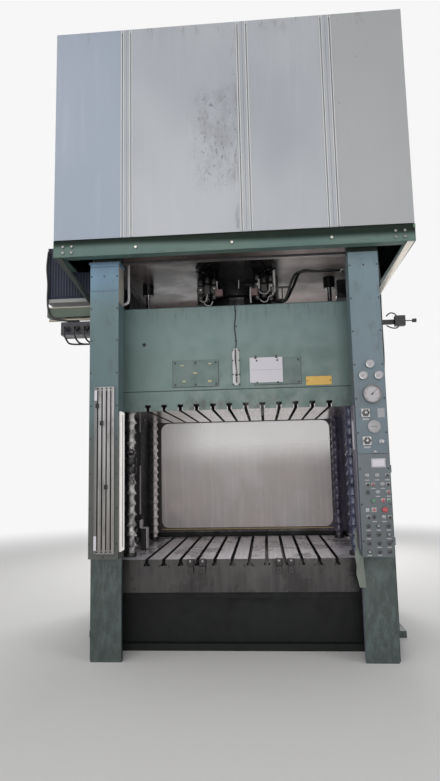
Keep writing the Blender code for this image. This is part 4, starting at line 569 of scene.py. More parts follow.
# Two clusters of unions and small valves stand on the manifolds, each union at its own
# height, with bright elbows and U pipes between them.
CLUSTER_Y = -0.52
UNIONS = {
    # x, height of the lower nut, height of the upper nut
    "left": ((-0.341, 3.205, 3.345), (-0.275, 3.19, 3.372), (-0.209, 3.215, 3.355)),
    "right": ((0.209, 3.195, 3.38), (0.275, 3.21, 3.35), (0.341, 3.19, 3.362)),
}
nut = [(0.0205, -0.017), (0.0225, -0.014), (0.0225, 0.01), (0.0205, 0.013)]
neck = [(0.02, -0.026), (0.02, 0.026)]
cap = [(0.009, -0.012), (0.011, -0.009), (0.011, 0.004)]
for name, unions in UNIONS.items():
    lows = [(x - 0.027, CLUSTER_Y - 0.032, 3.228 + 0.3 * (a - 3.19)) for x, a, b in unions]
    highs = [(x + 0.027, CLUSTER_Y + 0.075, 3.306 + 0.5 * (b - 3.345)) for x, a, b in unions]
    shape(f"valve_blocks_{name}", fitting_grey, boxes(list(zip(lows, highs))), bevel=0.004)
    yoke = (unions[0][0] - 0.031, -0.547, 3.26, unions[-1][0] + 0.031, -0.44, 3.298)
    shape(f"manifold_{name}", cylinder_black, boxes(yoke), bevel=0.003)
    ends = [(x, CLUSTER_Y, z) for x, a, b in unions for z in (a, b)]
    joints = (turned(nut, ends, 6, "Z"), turned(neck, ends, 20, "Z"))
    shape(f"unions_{name}", fitting_grey, *joints, bevel=0.001)
    caps = [(x + 0.004, CLUSTER_Y - 0.032, b - 0.075) for x, a, b in unions[::2]]
    shape(f"valve_caps_{name}", zinc, turned(cap, caps, 20))
    side = math.copysign(1, unions[0][0])
    rises = ((0, CLUSTER_Y + 0.02, 3.44), (0.03, -0.47, 3.48), (0.05, -0.42, 3.5))
    pipes = [
        bent([(x, CLUSTER_Y, b)] + [(x + out * side, y, z) for out, y, z in rises], 0.01)
        for x, a, b in unions
    ]
    shape(f"pipes_{name}", cylinder_black, *pipes)
rose = plain("faded_rose_block", (0.15, 0.085, 0.085), 0.4)
blocks = [(-0.196, -0.56, 3.205, -0.124, -0.5, 3.272), (0.15, -0.56, 3.196, 0.212, -0.5, 3.268)]
shape("rose_blocks", rose, boxes(blocks), bevel=0.005)
HOOKS = (
    # radius, and the points it passes
    (0.0048, (-0.348, -0.55, 3.172), (-0.32, -0.56, 3.15), (-0.288, -0.56, 3.16),
     (-0.272, -0.56, 3.225)),
    (0.005, (-0.306, -0.57, 3.135), (-0.28, -0.57, 3.112), (-0.24, -0.57, 3.112),
     (-0.222, -0.57, 3.15)),
    (0.0048, (0.232, -0.56, 3.232), (0.262, -0.56, 3.208), (0.3, -0.56, 3.214),
     (0.322, -0.56, 3.24), (0.33, -0.56, 3.3)),
    (0.0048, (0.232, -0.57, 3.15), (0.262, -0.57, 3.125), (0.3, -0.57, 3.13),
     (0.318, -0.57, 3.175), (0.352, -0.57, 3.19), (0.362, -0.56, 3.27)),
    (0.008, (0.146, -0.57, 3.12), (0.142, -0.57, 3.2), (0.146, -0.57, 3.272)),
    (0.0085, (0.226, -0.56, 3.262), (0.228, -0.56, 3.3), (0.226, -0.56, 3.352)),
    (0.0065, (-0.178, -0.54, 3.272), (-0.18, -0.54, 3.31), (-0.178, -0.54, 3.356)),
    (0.005, (0.03, -0.5, 3.29), (0.03, -0.5, 3.325), (0.032, -0.5, 3.372)),
)
pale_pipe = plain("bright_pipe", (0.56, 0.54, 0.54), 0.24, 0.35)
shape("bright_pipes", pale_pipe, *(bent(points, radius) for radius, *points in HOOKS))
# A white pipe; its near-white colour is partly a painted highlight of a bright rod.
column = bent([(0.378, -0.36, 3.275), (0.378, -0.361, 3.4), (0.378, -0.36, 3.518)], 0.0125)
shape("white_riser", plain("white_highlight_pipe", (0.9, 0.88, 0.86), 0.25), column)
lead = [(0.21, -0.53, 3.215), (0.18, -0.55, 3.268), (0.14, -0.56, 3.3), (0.095, -0.55, 3.306)]
shape("cluster_lead", hose_black, bent(lead, 0.006, 8))

# A hose comes from the right upright, sags and turns down to the cylinder; a T-headed
# rod hangs beside it.
HOSE = [
    (1.05, -0.5, 3.427), (0.94, -0.5, 3.432), (0.8, -0.5, 3.428), (0.68, -0.5, 3.432),
    (0.585, -0.5, 3.41), (0.535, -0.495, 3.32), (0.5, -0.48, 3.215), (0.455, -0.45, 3.15),
    (0.36, -0.38, 3.185),
]
shape("crown_hose", hose_black, bent(HOSE, 0.013, 12, 8))
rod = turned([(0.006, -0.075), (0.006, 0.075)], [(0.448, -0.52, 3.2)], 10, "Z")
head = boxes((0.388, -0.532, 3.268, 0.512, -0.508, 3.282))
shape("t_rod", fitting_grey, rod, head, bevel=0.001)
ferrule = turned([(0.019, -0.024), (0.019, 0.024)], [(1.036, -0.5, 3.427)], 12, "X")
shape("hose_ferrule", zinc, ferrule, bevel=0.002)

# A junction box and the front edge beam under the crown.
junction = boxes((0.955, -0.62, 3.15, 1.085, -0.5, 3.3))
shape("crown_box_right", cylinder_black, junction, bevel=0.006)
edge_beam = sooted("edge_beam_paint", (0.105, 0.1, 0.105), (0.04, 0.038, 0.04), 0.6)
beam = boxes((-1.135, -1.01, 3.402, 1.135, -0.992, 3.42))
shape("crown_edge_beam", edge_beam, beam, bevel=0.002)

# Ram
# A welded box in green machine paint. Across its front run a seam, two screwed access
# covers and a position scale in a laced sleeve; hands, oil and hot parts have left drips
# at the top and soot and bare scratches along the bottom edge.
RAM_FRONT = -0.72
PLATEN_FACE = 2.0905


def ram_paint():
    """Green paint with drips, soot and scratches; a lighter, bluer band towards the top as painted
    light; a pale ground underside, its paleness partly painted light from behind; and black inside
    the slots as painted shade.
    """
    paint = Paint("ram_paint")
    fade = paint.cloud(0.8, (1, 1, 0.6), 3.0, 0.55, 0.33, 0.68)
    paint.base(fade, (0.108, 0.17, 0.156), (0.142, 0.212, 0.202))
    # A lighter, bluer band towards the top: painted light.
    paint.over((0.165, 0.25, 0.262), paint.along("Z", 2.55, 2.8), 0.45)
    top = paint.along("Z", 2.84, 3.05)
    drips = paint.cloud(0.03, (1, 1, 0.1), 6.0, 0.7, 0.5, 0.66)
    paint.over((0.045, 0.055, 0.05), top, drips, 0.55)
    bottom = paint.along("Z", 2.12, 2.3, 1.0, 0.0)
    soot = paint.cloud(0.085, (1, 1, 0.8), 8.0, 0.7, 0.4, 0.66)
    brown = patch(paint, (-0.35, -2.0, 2.0), (0.45, 2.0, 2.2), 0.25)
    soot = paint.times(soot, paint.between(brown, 0.0, 1.0, 0.55, 1.0))
    paint.over((0.05, 0.042, 0.038), bottom, soot, 0.72)
    scratch = paint.cloud(0.02, (0.25, 1, 1), 8.0, 0.8, 0.6, 0.66)
    paint.over((0.28, 0.27, 0.25), bottom, scratch, 0.75)
    chips = paint.cloud(0.02, EVEN, 6.0, 0.7, 0.71, 0.74)
    paint.over((0.42, 0.37, 0.2), chips, 0.6)
    # Black inside the slots behind the front: painted shade.
    inside = patch(paint, (None, -0.718, 2.0), (None, 2.0, 2.15), 0.0006)
    paint.over((0.03, 0.028, 0.028), inside, 0.9)
    # The underside is pale ground steel, its paleness partly painted light from behind.
    fine = paint.cloud(0.014, (1, 0.02, 1), 4.0, 0.6, 0.3, 0.72)
    steel = paint.mix(fine, (0.74, 0.68, 0.66), (0.96, 0.92, 0.9))
    lowest = paint.along("Z", PLATEN_FACE, PLATEN_FACE + 0.002, 1.0, 0.0)
    under = paint.times(paint.facing("Z", -1), lowest)
    paint.over(steel, under)
    rough = paint.cloud(0.12, EVEN, 6.0, 0.55, 0.3, 0.7, 0.34, 0.56)
    rough = paint.times(rough, paint.between(under, 0.0, 1.0, 1.0, 0.45))
    paint.bump(paint.noise(0.3, (1, 1, 0.6), 2.0), 0.1, 0.01)
    return paint.done(Roughness=rough, Metallic=paint.times(under, 0.8))


wear(ram_paint(), "ram", "ram_platen")
access_green = ((0.088, 0.138, 0.13), (0.5, 0.42, 0.16), 0.55, 0.4)
wear(painted("access_cover_paint", *access_green), "access_cover_left", "access_cover_right")

screw_dark = plain("dark_screw", (0.03, 0.03, 0.028), 0.4, 0.4)
PAN = [(0.0045, -0.0055), (0.0085, -0.004), (0.0105, 0.0), (0.0105, 0.003)]
cover_screws = [
    (x, RAM_FRONT - 0.006, z)
    for x0, x1 in ((-0.588, -0.168), (0.163, 0.583))
    for x in (x0 + 0.022, (x0 + x1) / 2, x1 - 0.022)
    for z in (2.325, 2.528)
]
shape("access_cover_screws", screw_dark, turned(PAN, cover_screws, 14), body="ram")
CHIPS = [(-0.52, 2.5), (-0.5, 2.35), (-0.265, 2.345), (-0.26, 2.512), (-0.4, 2.425)]
chip_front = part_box("access_cover_left")[0][1]
chips = []
for i, (x, z) in enumerate(CHIPS):
    high_x, high_z = x + 0.034 - 0.006 * (i % 2), z + 0.011 + 0.004 * (i % 3)
    chips.append((x, chip_front - 0.0007, z, high_x, chip_front + 0.001, high_z))
chip_yellow = plain("primer_yellow", (0.44, 0.41, 0.25), 0.7)
shape("cover_chips", chip_yellow, boxes(chips), body="ram", smooth=False)
# Thin dark lines round the access covers: painted shadow along their edges.
edge_shadows = []
for node_name in ("access_cover_left", "access_cover_right"):
    (x0, _, z0), (x1, _, z1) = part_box(node_name)
    left, right_side = (x0 - 0.005, x0, z0, z1), (x1, x1 + 0.005, z0, z1)
    foot, top = (x0 - 0.005, x1 + 0.005, z0 - 0.006, z0), (x0, x1, z1, z1 + 0.002)
    for xa, xb, za, zb in (left, right_side, foot, top):
        edge_shadows.append((xa, RAM_FRONT - 0.0008, za, xb, RAM_FRONT + 0.001, zb))
shape("cover_edge_shadows", screw_dark, boxes(edge_shadows), body="ram", smooth=False)
seam = boxes((-1.084, RAM_FRONT - 0.0012, 2.269, 1.084, RAM_FRONT + 0.004, 2.2715))
shape("ram_seam", screw_dark, seam, body="ram", smooth=False)
# A hole in the ram's front as a black disc: painted shade inside it.
hole = turned([(0.017, -0.001), (0.017, 0.004)], [(-0.857, RAM_FRONT, 2.715)], 20)
shape("ram_hole", bore_black, hole, body="ram")

card_white = plain("blank_card", (0.58, 0.57, 0.62), 0.55)
card = boxes((0.12, RAM_FRONT - 0.0095, 2.326, 0.419, RAM_FRONT - 0.0068, 2.558))
shape("notice_card", card_white, card, body="ram", bevel=0.0008)
clips = [(x, RAM_FRONT, 0) for x in (0.175, 0.365)]
clips = boxes(around(clips, (-0.01, -0.013, 2.545), (0.01, -0.004, 2.575)))
shape("card_clips", screw_dark, clips, body="ram", bevel=0.001)
fold = boxes((0.128, RAM_FRONT - 0.0105, 2.441, 0.412, RAM_FRONT - 0.0085, 2.4435))
shape("card_joint", plain("card_edge", (0.3, 0.3, 0.31), 0.6), fold, body="ram", smooth=False)
yellow = plain("yellow_plate", (0.6, 0.345, 0.01), 0.45, 0.0, 0.2)
plate = boxes((0.626, RAM_FRONT - 0.003, 2.289, 0.857, RAM_FRONT + 0.001, 2.37))
shape("yellow_plate", yellow, plate, body="ram", bevel=0.002)
small_screw = [(0.004, -0.0045), (0.006, -0.003), (0.006, 0.0)]
plate_screws = turned(small_screw, [(x, RAM_FRONT, 2.3295) for x in (0.637, 0.846)], 12)
shape("yellow_plate_screws", screw_dark, plate_screws, body="ram")

# The scale hangs in a pale sleeve, laced down its middle and held at its rims by dark lugs.


def sleeve_enamel():
    """White enamel that greys towards +X, with thin upright streaks of oil."""
    paint = Paint("sleeve_enamel")
    aside = paint.along("X", -0.03, 0.024)
    paint.base(aside, (0.52, 0.515, 0.56), (0.35, 0.375, 0.34))
    streaks = paint.cloud(0.01, (1, 1, 0.12), 5.0, 0.6, 0.45, 0.66)
    paint.over((0.15, 0.14, 0.14), streaks, 0.45)
    return paint.done(Roughness=0.34)


wear(sleeve_enamel(), "position_scale")
SCALE_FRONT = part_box("position_scale")[0][1]
SCALE_LEFT, SCALE_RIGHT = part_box("position_scale")[0][0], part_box("position_scale")[1][0]
LUG_Z = (2.629, 2.535, 2.406, 2.316)
lugs = [(x, SCALE_FRONT, z) for z in LUG_Z for x in (SCALE_LEFT + 0.002, SCALE_RIGHT - 0.002)]
lugs = boxes(around(lugs, (-0.008, -0.003, -0.005), (0.008, 0.006, 0.005)))
shape("scale_lugs", screw_dark, lugs, body="ram", bevel=0.002)
lace_x = SCALE_LEFT + 0.026
worn_lacing = plain("worn_lacing", (0.15, 0.12, 0.135), 0.6)
for name, paint, radius, sides, run in (
    ("scale_lacing", screw_dark, 0.0058, 10,
     ((0, 2.642), (0.001, 2.6), (0, 2.545), (0.004, 2.505))),
    ("scale_lacing_tail", screw_dark, 0.0046, 8, ((0.01, 2.385), (0.009, 2.355), (0.01, 2.328))),
    ("scale_lacing_loose", worn_lacing, 0.005, 10,
     ((0.004, 2.506), (0.008, 2.47), (0.013, 2.432), (0.009, 2.404))),
):
    cord = bent([(lace_x + x, SCALE_FRONT, z) for x, z in run], radius, sides, 8)
    shape(name, paint, cord, body="ram")
knot = [(0.007, -0.007), (0.012, -0.003), (0.013, 0.001)]
knot = turned(knot, [(lace_x + 0.008, SCALE_FRONT, 2.401)], 14)
shape("scale_knot", screw_dark, knot, body="ram")
clips = [(0, RAM_FRONT, z) for z in (2.72, 2.86, 3.01)]
clips = boxes(around(clips, (-0.011, -0.012, -0.004), (0.011, 0.001, 0.004)))
shape("cable_clips", screw_dark, clips, body="ram", bevel=0.001)

# The faces of the T-slots show bright where the bolts slide.
edges = []
for slot in range(12):
    for side in (-1, 1):
        near, far = sorted((slot - 5.5) * 0.15 + side * reach for reach in (0.0152, 0.0215))
        edges.append((near, RAM_FRONT - 0.0008, 2.0895, far, RAM_FRONT + 0.003, 2.119))
shape("platen_slot_edges", worn_steel, boxes(edges), body="ram", smooth=False)

# Platform and braces
# A ring of green channels carries the machine room; zinc-plated bolts hold its front, in
# threes along it and in fours at the corners. Two flat bars brace it to the uprights.
PLATFORM_FRONT = -1.34


def fitted(name, paint, profile, places, front, sides=24, **settings):
    """Turned pieces of one profile at the x and z of each place, on a front plane."""
    centres = [(x, front, z) for x, z in places]
    return shape(name, paint, turned(profile, centres, sides), **settings)


def platform_paint():
    """Green paint, painted black above a height that falls a little towards +X: the shadow under
    the cladding's overhang.
    """
    paint = Paint("platform_paint")
    fade = paint.cloud(0.7, (0.6, 1, 1), 3.0, 0.55, 0.33, 0.68)
    paint.base(fade, (0.078, 0.136, 0.124), (0.112, 0.172, 0.148))
    # Black above this height: painted shadow under the cladding's overhang.
    lift = paint.along("X", -1.2, 0.6, 0.0, 0.03)
    upper = paint.between(paint.maths("ADD", paint.place("Z"), lift), 3.425, 3.49)
    paint.over((0.008, 0.011, 0.008), upper, 0.9)
    grime_and_shade = paint.cloud(0.07, (0.5, 1, 1), 7.0, 0.7, 0.52, 0.7)
    paint.over((0.04, 0.05, 0.04), grime_and_shade, 0.35)
    gloss = paint.between(upper, 0.0, 1.0, 0.35, 0.04)
    return paint.done(Specular_IOR_Level=gloss, Roughness=0.45)


platform_green = platform_paint()
wear(platform_green, "platform")
# The two braces are one paint: the left one painted dark as shade, the right one painted pale as
# light from that side.
brace_shaded = painted("brace_paint_left", (0.032, 0.04, 0.036), (0.1, 0.1, 0.09), 0.6, 0.45)
brace_lit = painted("brace_paint_right", (0.86, 0.81, 0.74), (0.15, 0.15, 0.13), 0.2, 0.45)
wear(brace_shaded, "brace_left")
wear(brace_lit, "brace_right")
rim = [(x, 3.423) for x in (-0.798, 0.013, 0.835)]
rim += [(side * x, z) for side in (-1, 1) for x in (1.35, 1.425) for z in (3.4, 3.452)]
HEX = [(0.01, -0.0125), (0.0126, -0.011), (0.0126, -0.002)]
WASHER = [(0.016, -0.0025), (0.016, 0.002)]
dull_zinc = plain("dull_zinc", (0.22, 0.22, 0.22), 0.34, 0.6)
for name, paint, profile, places, sides in (
    ("platform_bolts", zinc, HEX, rim[:3], 6),
    ("corner_bolts", dull_zinc, HEX, rim[3:], 6),
    ("platform_washers", platform_green, WASHER, rim, 20),
):
    fitted(name, paint, profile, places, PLATFORM_FRONT, sides, smooth=False)
corner = boxes((1.495, -1.346, 3.475, 1.512, -1.3, 3.5085))
shape("platform_corner_piece", plain("corner_green", (0.1, 0.2, 0.13), 0.4), corner, bevel=0.002)

# Machine room cladding
# Silver painted sheet panels with folded edges, screwed to the platform, with narrow
# joint strips between the front ones. They carry grime along the top, vertical rubs and
# a cloud of dark hand and oil smudges on the second panel.


def cladding_paint():
    """Silver paint with rubs, smudges, drips beside a joint, dirt along the top and dark specks;
    the panel at the left end is bluer and the one at the right end greyer."""
    paint = Paint("weathered_silver_sheet")
    broad = paint.cloud(1.1, (1, 1, 0.6), 2.0, 0.55, 0.35, 0.68)
    paint.base(broad, (0.33, 0.35, 0.385), (0.405, 0.422, 0.452))
    rubs = paint.cloud(0.07, (1, 1, 0.07), 4.0, 0.55, 0.5, 0.75)
    paint.over((0.48, 0.5, 0.53), rubs, 0.14)
    grey = patch(paint, (0.9, None, None), (3.0, None, None), 0.02)
    paint.over((0.335, 0.345, 0.345), grey, 0.7)
    cool = patch(paint, (-3.0, None, None), (-0.93, None, None), 0.02)
    paint.over((0.258, 0.31, 0.395), cool, 0.75)
    smudged = patch(paint, (-0.17, -2.0, 4.05), (-0.03, -1.3, 4.7), 0.22)
    soft = paint.cloud(0.1, (1, 1, 0.5), 5.0, 0.6, 0.36, 0.66)
    paint.over((0.16, 0.16, 0.17), smudged, soft, 0.34)
    spots = paint.cloud(0.03, (1, 1, 0.5), 10.0, 0.78, 0.53, 0.62)
    paint.over((0.085, 0.085, 0.095), smudged, spots, 0.72)
    line = patch(paint, (0.06, -2.0, 3.55), (0.1, -1.3, 5.35), 0.025)
    drips = paint.cloud(0.03, (1, 1, 0.12), 7.0, 0.7, 0.47, 0.66)
    paint.over((0.12, 0.12, 0.12), line, drips, 0.55)
    top = paint.along("Z", 5.22, 5.42)
    grime_and_shade = paint.cloud(0.06, (1, 1, 0.35), 8.0, 0.7, 0.52, 0.68)
    paint.over((0.17, 0.16, 0.14), top, grime_and_shade, 0.4)
    specks = paint.cloud(0.014, EVEN, 2.0, 0.55, 0.735, 0.755)
    paint.over((0.12, 0.12, 0.12), specks, 0.35)
    paint.bump(paint.noise(0.6, (1, 1, 0.45), 1.0, 0.4), 0.3, 0.02)
    return paint.done(Roughness=paint.between(rubs, 0.0, 1.0, 0.48, 0.4), Metallic=0.12)


PANELS = ("front_1", "front_2", "front_3", "front_4", "left", "right", "rear", "roof")
wear(cladding_paint(), *(f"cladding_{panel}" for panel in PANELS))

# Rolled beads stand along each groove, painted paler than the panels as a highlight on their
# edges; a step runs down each strip.
CLAD_FRONT = -1.35
STRIPS = ((-0.915, -0.832), (0.1, 0.183), (0.817, 0.9))
STRIP_FOOT, STRIP_TOP = 3.514, 5.428
BEAD, INSET = 0.011, 0.007
# Paler than the panels: painted highlight.
bead_highlight = plain("bead_highlight", (0.52, 0.53, 0.545), 0.36, 0.15)
beads, steps = [], []
for low, high in STRIPS:
    for x in (low - BEAD, low + INSET, high - INSET - BEAD, high):
        beads.append((x, CLAD_FRONT - 0.005, STRIP_FOOT, x + BEAD, CLAD_FRONT + 0.001, STRIP_TOP))
    steps.append(((low + high) / 2, CLAD_FRONT, 0))
shape("panel_beads", bead_highlight, boxes(beads), bevel=0.0035)
steps = around(steps, (-0.0015, -0.0008, STRIP_FOOT), (0.0015, 0.001, STRIP_TOP))
step_shade = plain("step_shade", (0.16, 0.165, 0.175), 0.5)
shape("panel_steps", step_shade, boxes(steps), smooth=False)
dots = ((0.066, 4.93), (0.066, 4.42), (0.826, 4.6), (0.826, 4.95), (1.105, 5.02), (0.95, 4.6))
spot_dark = plain("spot_dark", (0.05, 0.05, 0.05), 0.5)
fitted("panel_spots", spot_dark, [(0.004, -0.0008), (0.004, 0.001)], dots, CLAD_FRONT, 12)

# Left cover, light strip and trip rail
# A deep folded sheet cover, its paint blue-grey towards the top, screwed along both edges.
# An aluminium rail with four T-slots is screwed to its face, and a pale strip like a light
# curtain stands on its inner side beside the die space.
COVER_FRONT = -1.22
SCREW_Z = (3.222, 2.937, 2.658, 2.379, 2.099, 1.823, 1.535, 1.256, 0.972)
FLAT = [(0.0035, -0.0035), (0.0065, -0.0025), (0.0075, 0.0), (0.0075, 0.002)]


def cover_paint(name, low, high, low_z, high_z, grime_and_shade, foot=None):
    """Green-grey paint that turns from `low` to `high` between two heights, and to `foot`
    beside the light strip."""
    paint = Paint(name)
    paint.base(paint.along("Z", low_z, high_z), low, high)
    if foot:
        paint.base(paint.along("Z", 1.62, 2.12), foot, paint.colour)
    uneven = paint.cloud(0.5, (1, 1, 0.5), 4.0, 0.55, 0.3, 0.7, 0.86, 1.12)
    inputs = {0: paint.colour, "Scale": uneven}
    paint.colour = paint.node("VectorMath", inputs, operation="SCALE")
    hands = paint.cloud(0.11, (1, 1, 0.5), 7.0, 0.68, 0.5, 0.72)
    paint.over((0.045, 0.052, 0.05), hands, grime_and_shade)
    paint.over((0.38, 0.36, 0.3), paint.cloud(0.014, EVEN, 5.0, 0.7, 0.71, 0.74), 0.6)
    paint.bump(paint.noise(0.22, (1, 1, 0.5), 2.0), 0.12, 0.006)
    return paint.done(Roughness=paint.between(hands, 0.0, 1.0, 0.46, 0.34))


def edge_screws(inner, outer, heights):
    """Places of screws down two edges."""
    return [(x, z) for x in (inner, outer) for z in heights]


left_green = ((0.096, 0.155, 0.168), (0.125, 0.222, 0.318), 2.9, 3.28, 0.45)
wear(cover_paint("cover_paint_left", *left_green, (0.072, 0.078, 0.073)), "cover_left")
left_screws = edge_screws(-0.987, -1.21, SCREW_Z) + [(-1.1, 3.222), (-1.1, 0.868)]
fitted("cover_screws_left", screw_dark, FLAT, left_screws, COVER_FRONT, 12)
cap_metal = plain("cap_edge", (0.03, 0.034, 0.034), 0.45)
lines = [
    (-1.233, -1.2312, 3.336, -0.963, -1.2292, 3.3385),
    (-1.233, -1.2312, 3.3425, -0.963, -1.2292, 3.3455),
]
shape("cover_cap_lines", cap_metal, boxes(lines), smooth=False)
fold = boxes((-1.2225, -1.2207, 3.304, -0.9745, -1.2185, 3.3075))
shape("cover_fold_line", cap_metal, fold, smooth=False)
joint = boxes((-1.2215, -1.2206, 3.0875, -0.9755, -1.2185, 3.0905))
shape("cover_joint_line", cap_metal, joint, smooth=False)
cap_screw = [(0.004, -0.006), (0.008, -0.004), (0.008, 0.004)]
nuts = [(x, 3.35) for x in (-1.195, -1.15, -1.06, -0.99)]
fitted("cap_screws", screw_dark, cap_screw, nuts, -1.233, 12)

# Inner side: a pale light strip beside the die space and a beige upper band over it.


def strip_enamel():
    """Cream enamel with grey hand marks; the side facing +X is painted paler and given a faint
    glow, as painted light.
    """
    paint = Paint("light_strip_enamel")
    marks = paint.cloud(0.1, (1, 1, 0.35), 6.0, 0.65, 0.42, 0.66)
    paint.base(paint.times(marks, 0.5), (0.8, 0.79, 0.76), (0.5, 0.5, 0.475))
    # The side facing +X: paler colour and a glow, painted light.
    side = paint.facing("X")
    paint.over((0.94, 0.92, 0.88), side)
    glow = paint.mix(side, (0.0, 0.0, 0.0), (0.9, 0.88, 0.85))
    return paint.done(Emission_Color=glow, Emission_Strength=0.42, Roughness=0.3)


strip = boxes((-0.9755, -1.19, 0.903, -0.959, -1.066, 2.052))
shape("light_strip_left", strip_enamel(), strip, bevel=0.003)
lens_band = boxes((-0.96, -1.142, 0.93, -0.9582, -1.116, 2.025))
shape("light_strip_lens", plain("grey_lens", (0.42, 0.4, 0.39), 0.15), lens_band, smooth=False)
upper = boxes((-0.9752, -1.216, 2.99, -0.9735, -1.045, 3.32))
shape("inner_band_left", plain("faded_beige", (0.32, 0.3, 0.26), 0.5), upper, smooth=False)
riser = [
    (-1.0, -0.74, 3.505), (-1.0, -0.74, 3.3), (-1.0, -0.74, 3.15), (-1.02, -0.742, 3.112),
    (-1.07, -0.744, 3.1), (-1.139, -0.745, 3.1),
]
white_paint = plain("white_pipe_paint", (0.66, 0.64, 0.66), 0.35)
shape("white_pipe_left", white_paint, bent(riser, 0.012, 12, 8))

# Trip rail: brushed aluminium with dark slots, screws at the slots' ends, two blank tags.
RAIL_LOW, RAIL_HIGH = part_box("trip_rail")
RAIL_FRONT = RAIL_LOW[1]
SLOT_PITCH = 0.037
RAIL_SLOTS = [SLOT_PITCH * i - 1.1425 for i in range(4)]
END_FILL = 0.027


def extruded():
    """Brushed aluminium with dirt and a dark outer edge, with painted shade along the slots'
    edges, where the distance from the middle of the nearest slot is small, and black inside the
    slots as painted shade."""
    paint = Paint("extruded_aluminium")
    fine = paint.cloud(0.004, (1, 1, 0.01), 3.0, 0.55, 0.3, 0.7)
    lower = paint.mix(fine, (0.15, 0.143, 0.138), (0.262, 0.25, 0.241))
    upper = paint.mix(fine, (0.225, 0.222, 0.226), (0.372, 0.368, 0.374))
    paint.base(paint.along("Z", 1.0, 2.15), lower, upper)
    dirt = paint.cloud(0.09, (1, 1, 0.3), 7.0, 0.7, 0.48, 0.66)
    paint.over((0.09, 0.085, 0.08), dirt, 0.5)
    paint.over((0.095, 0.095, 0.1), paint.along("X", -1.1475, -1.146, 1.0, 0.0), 0.6)
    # Dark bands along each slot's edges: painted shade that widens the dark slots.
    from_slot = paint.maths("SUBTRACT", paint.place("X"), RAIL_SLOTS[0])
    from_slot = paint.maths("PINGPONG", from_slot, SLOT_PITCH / 2)
    lip_shade = paint.between(from_slot, 0.0048, 0.0068, 1.0, 0.0)
    ends = ((None, None, RAIL_LOW[2] + 0.03), (None, None, RAIL_HIGH[2] - 0.03))
    paint.over((0.018, 0.017, 0.017), lip_shade, patch(paint, *ends, 0.002))
    # Black inside the slots: painted shade.
    inside = ((-1.168, RAIL_FRONT + 0.0012, None), (-1.006, 0.0, None))
    paint.over((0.004, 0.004, 0.005), patch(paint, *inside, 0.0008))
    return paint.done(Metallic=0.6, Roughness=0.38)


wear(extruded(), "trip_rail")
fills = [
    (x, RAIL_FRONT, z)
    for x in RAIL_SLOTS
    for z in (RAIL_LOW[2] + 0.001, RAIL_HIGH[2] - 0.001 - END_FILL)
]
fills = boxes(around(fills, (-0.0039, 0.0002, 0), (0.0039, 0.0072, END_FILL)))
shape("rail_slot_ends", plain("end_filler", (0.34, 0.335, 0.335), 0.4, 0.5), fills, smooth=False)
rail_screws = [(x, z) for x in RAIL_SLOTS for z in (0.91, 2.242)]
head = [(0.005, -0.004), (0.008, -0.003), (0.0085, 0.001)]
fitted("trip_rail_screws", screw_dark, head, rail_screws, RAIL_FRONT, 14)
tags = [
    (-1.1705, RAIL_FRONT - 0.00015, low, -1.148, RAIL_FRONT + 0.0005, high)
    for low, high in ((2.142, 2.229), (0.922, 1.036))
]
shape("trip_tags", card_white, boxes(tags), smooth=False)


def on_face(name, paint, profile, carrier, sides, **settings):
    """A turned piece on the middle of a CAD node's front, riding with it."""
    low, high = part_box(carrier)
    middle = [((low[0] + high[0]) / 2, (low[2] + high[2]) / 2)]
    fitted(name, paint, profile, middle, low[1], sides, body=carrier, **settings)


blued_dog = plain("blued_dog", (0.016, 0.016, 0.018), 0.3, 0.6)
head = [(0.0035, -0.0035), (0.0055, -0.003), (0.0055, 0.001)]
for i in (1, 2, 3):
    wear(blued_dog, f"trip_dog_{i}")
    on_face(f"dog_screw_{i}", screw_dark, head, f"trip_dog_{i}", 6, smooth=False)

# Right cover: gauges, valves and control door
# The cover matches the left one in a greyer tone. It carries three small gauges, one large
# gauge, two hand valves with plates, and the control door with rows of push-buttons,
# lamps and switches over small blank labels. The dials have plain ticks and no text.
right_green = ((0.108, 0.146, 0.176), (0.128, 0.186, 0.214), 1.9, 3.2, 0.45)
door_green = ((0.086, 0.102, 0.114), (0.104, 0.126, 0.142), 1.0, 1.6, 0.5)
wear(cover_paint("cover_paint_right", *right_green), "cover_right")
wear(cover_paint("control_door_paint", *door_green), "control_door")
right_screws = edge_screws(0.987, 1.21, SCREW_Z[:6]) + [(1.1, 3.222)]
door_screws = edge_screws(0.987, 1.21, SCREW_Z[6:])
fitted("cover_screws_right", screw_dark, FLAT, right_screws, COVER_FRONT, 12)
fitted("door_screws", screw_dark, FLAT, door_screws, COVER_FRONT, 12, body="control_door")

dial_face = plain("dial_white", (0.385, 0.375, 0.4), 0.32)
bezel_steel = plain("bezel_steel", (0.27, 0.275, 0.285), 0.3, 0.7)
tick_black = plain("tick_black", (0.02, 0.02, 0.02), 0.5)
dial_red = plain("dial_red", (0.45, 0.03, 0.02), 0.4)


def bars_around(centre, front, inner, outer, wide, angles, thick=0.0012):
    """Thin radial bars in front of the plane `front`, at angles clockwise from the top."""
    angle = np.radians(np.array(angles, float))
    out = np.stack((np.sin(angle), 0 * angle, np.cos(angle)), 1)
    side = np.stack((np.cos(angle), 0 * angle, -np.sin(angle)), 1)
    rows = []
    for y in (front, front - thick):
        middle = np.array((centre[0], y, centre[1]))
        for reach, half in ((inner, -1), (inner, 1), (outer, 1), (outer, -1)):
            rows.append(middle + reach * out + half * wide / 2 * side)
    points = np.stack(rows, 1).reshape(-1, 3)
    face = [[0, 3, 2, 1], [4, 5, 6, 7], [0, 1, 5, 4], [1, 2, 6, 5], [2, 3, 7, 6], [3, 0, 4, 7]]
    face = np.array(face)[None, :, ::-1] + 8 * np.arange(len(angle))[:, None, None]
    return points, face.reshape(-1, 4).tolist()


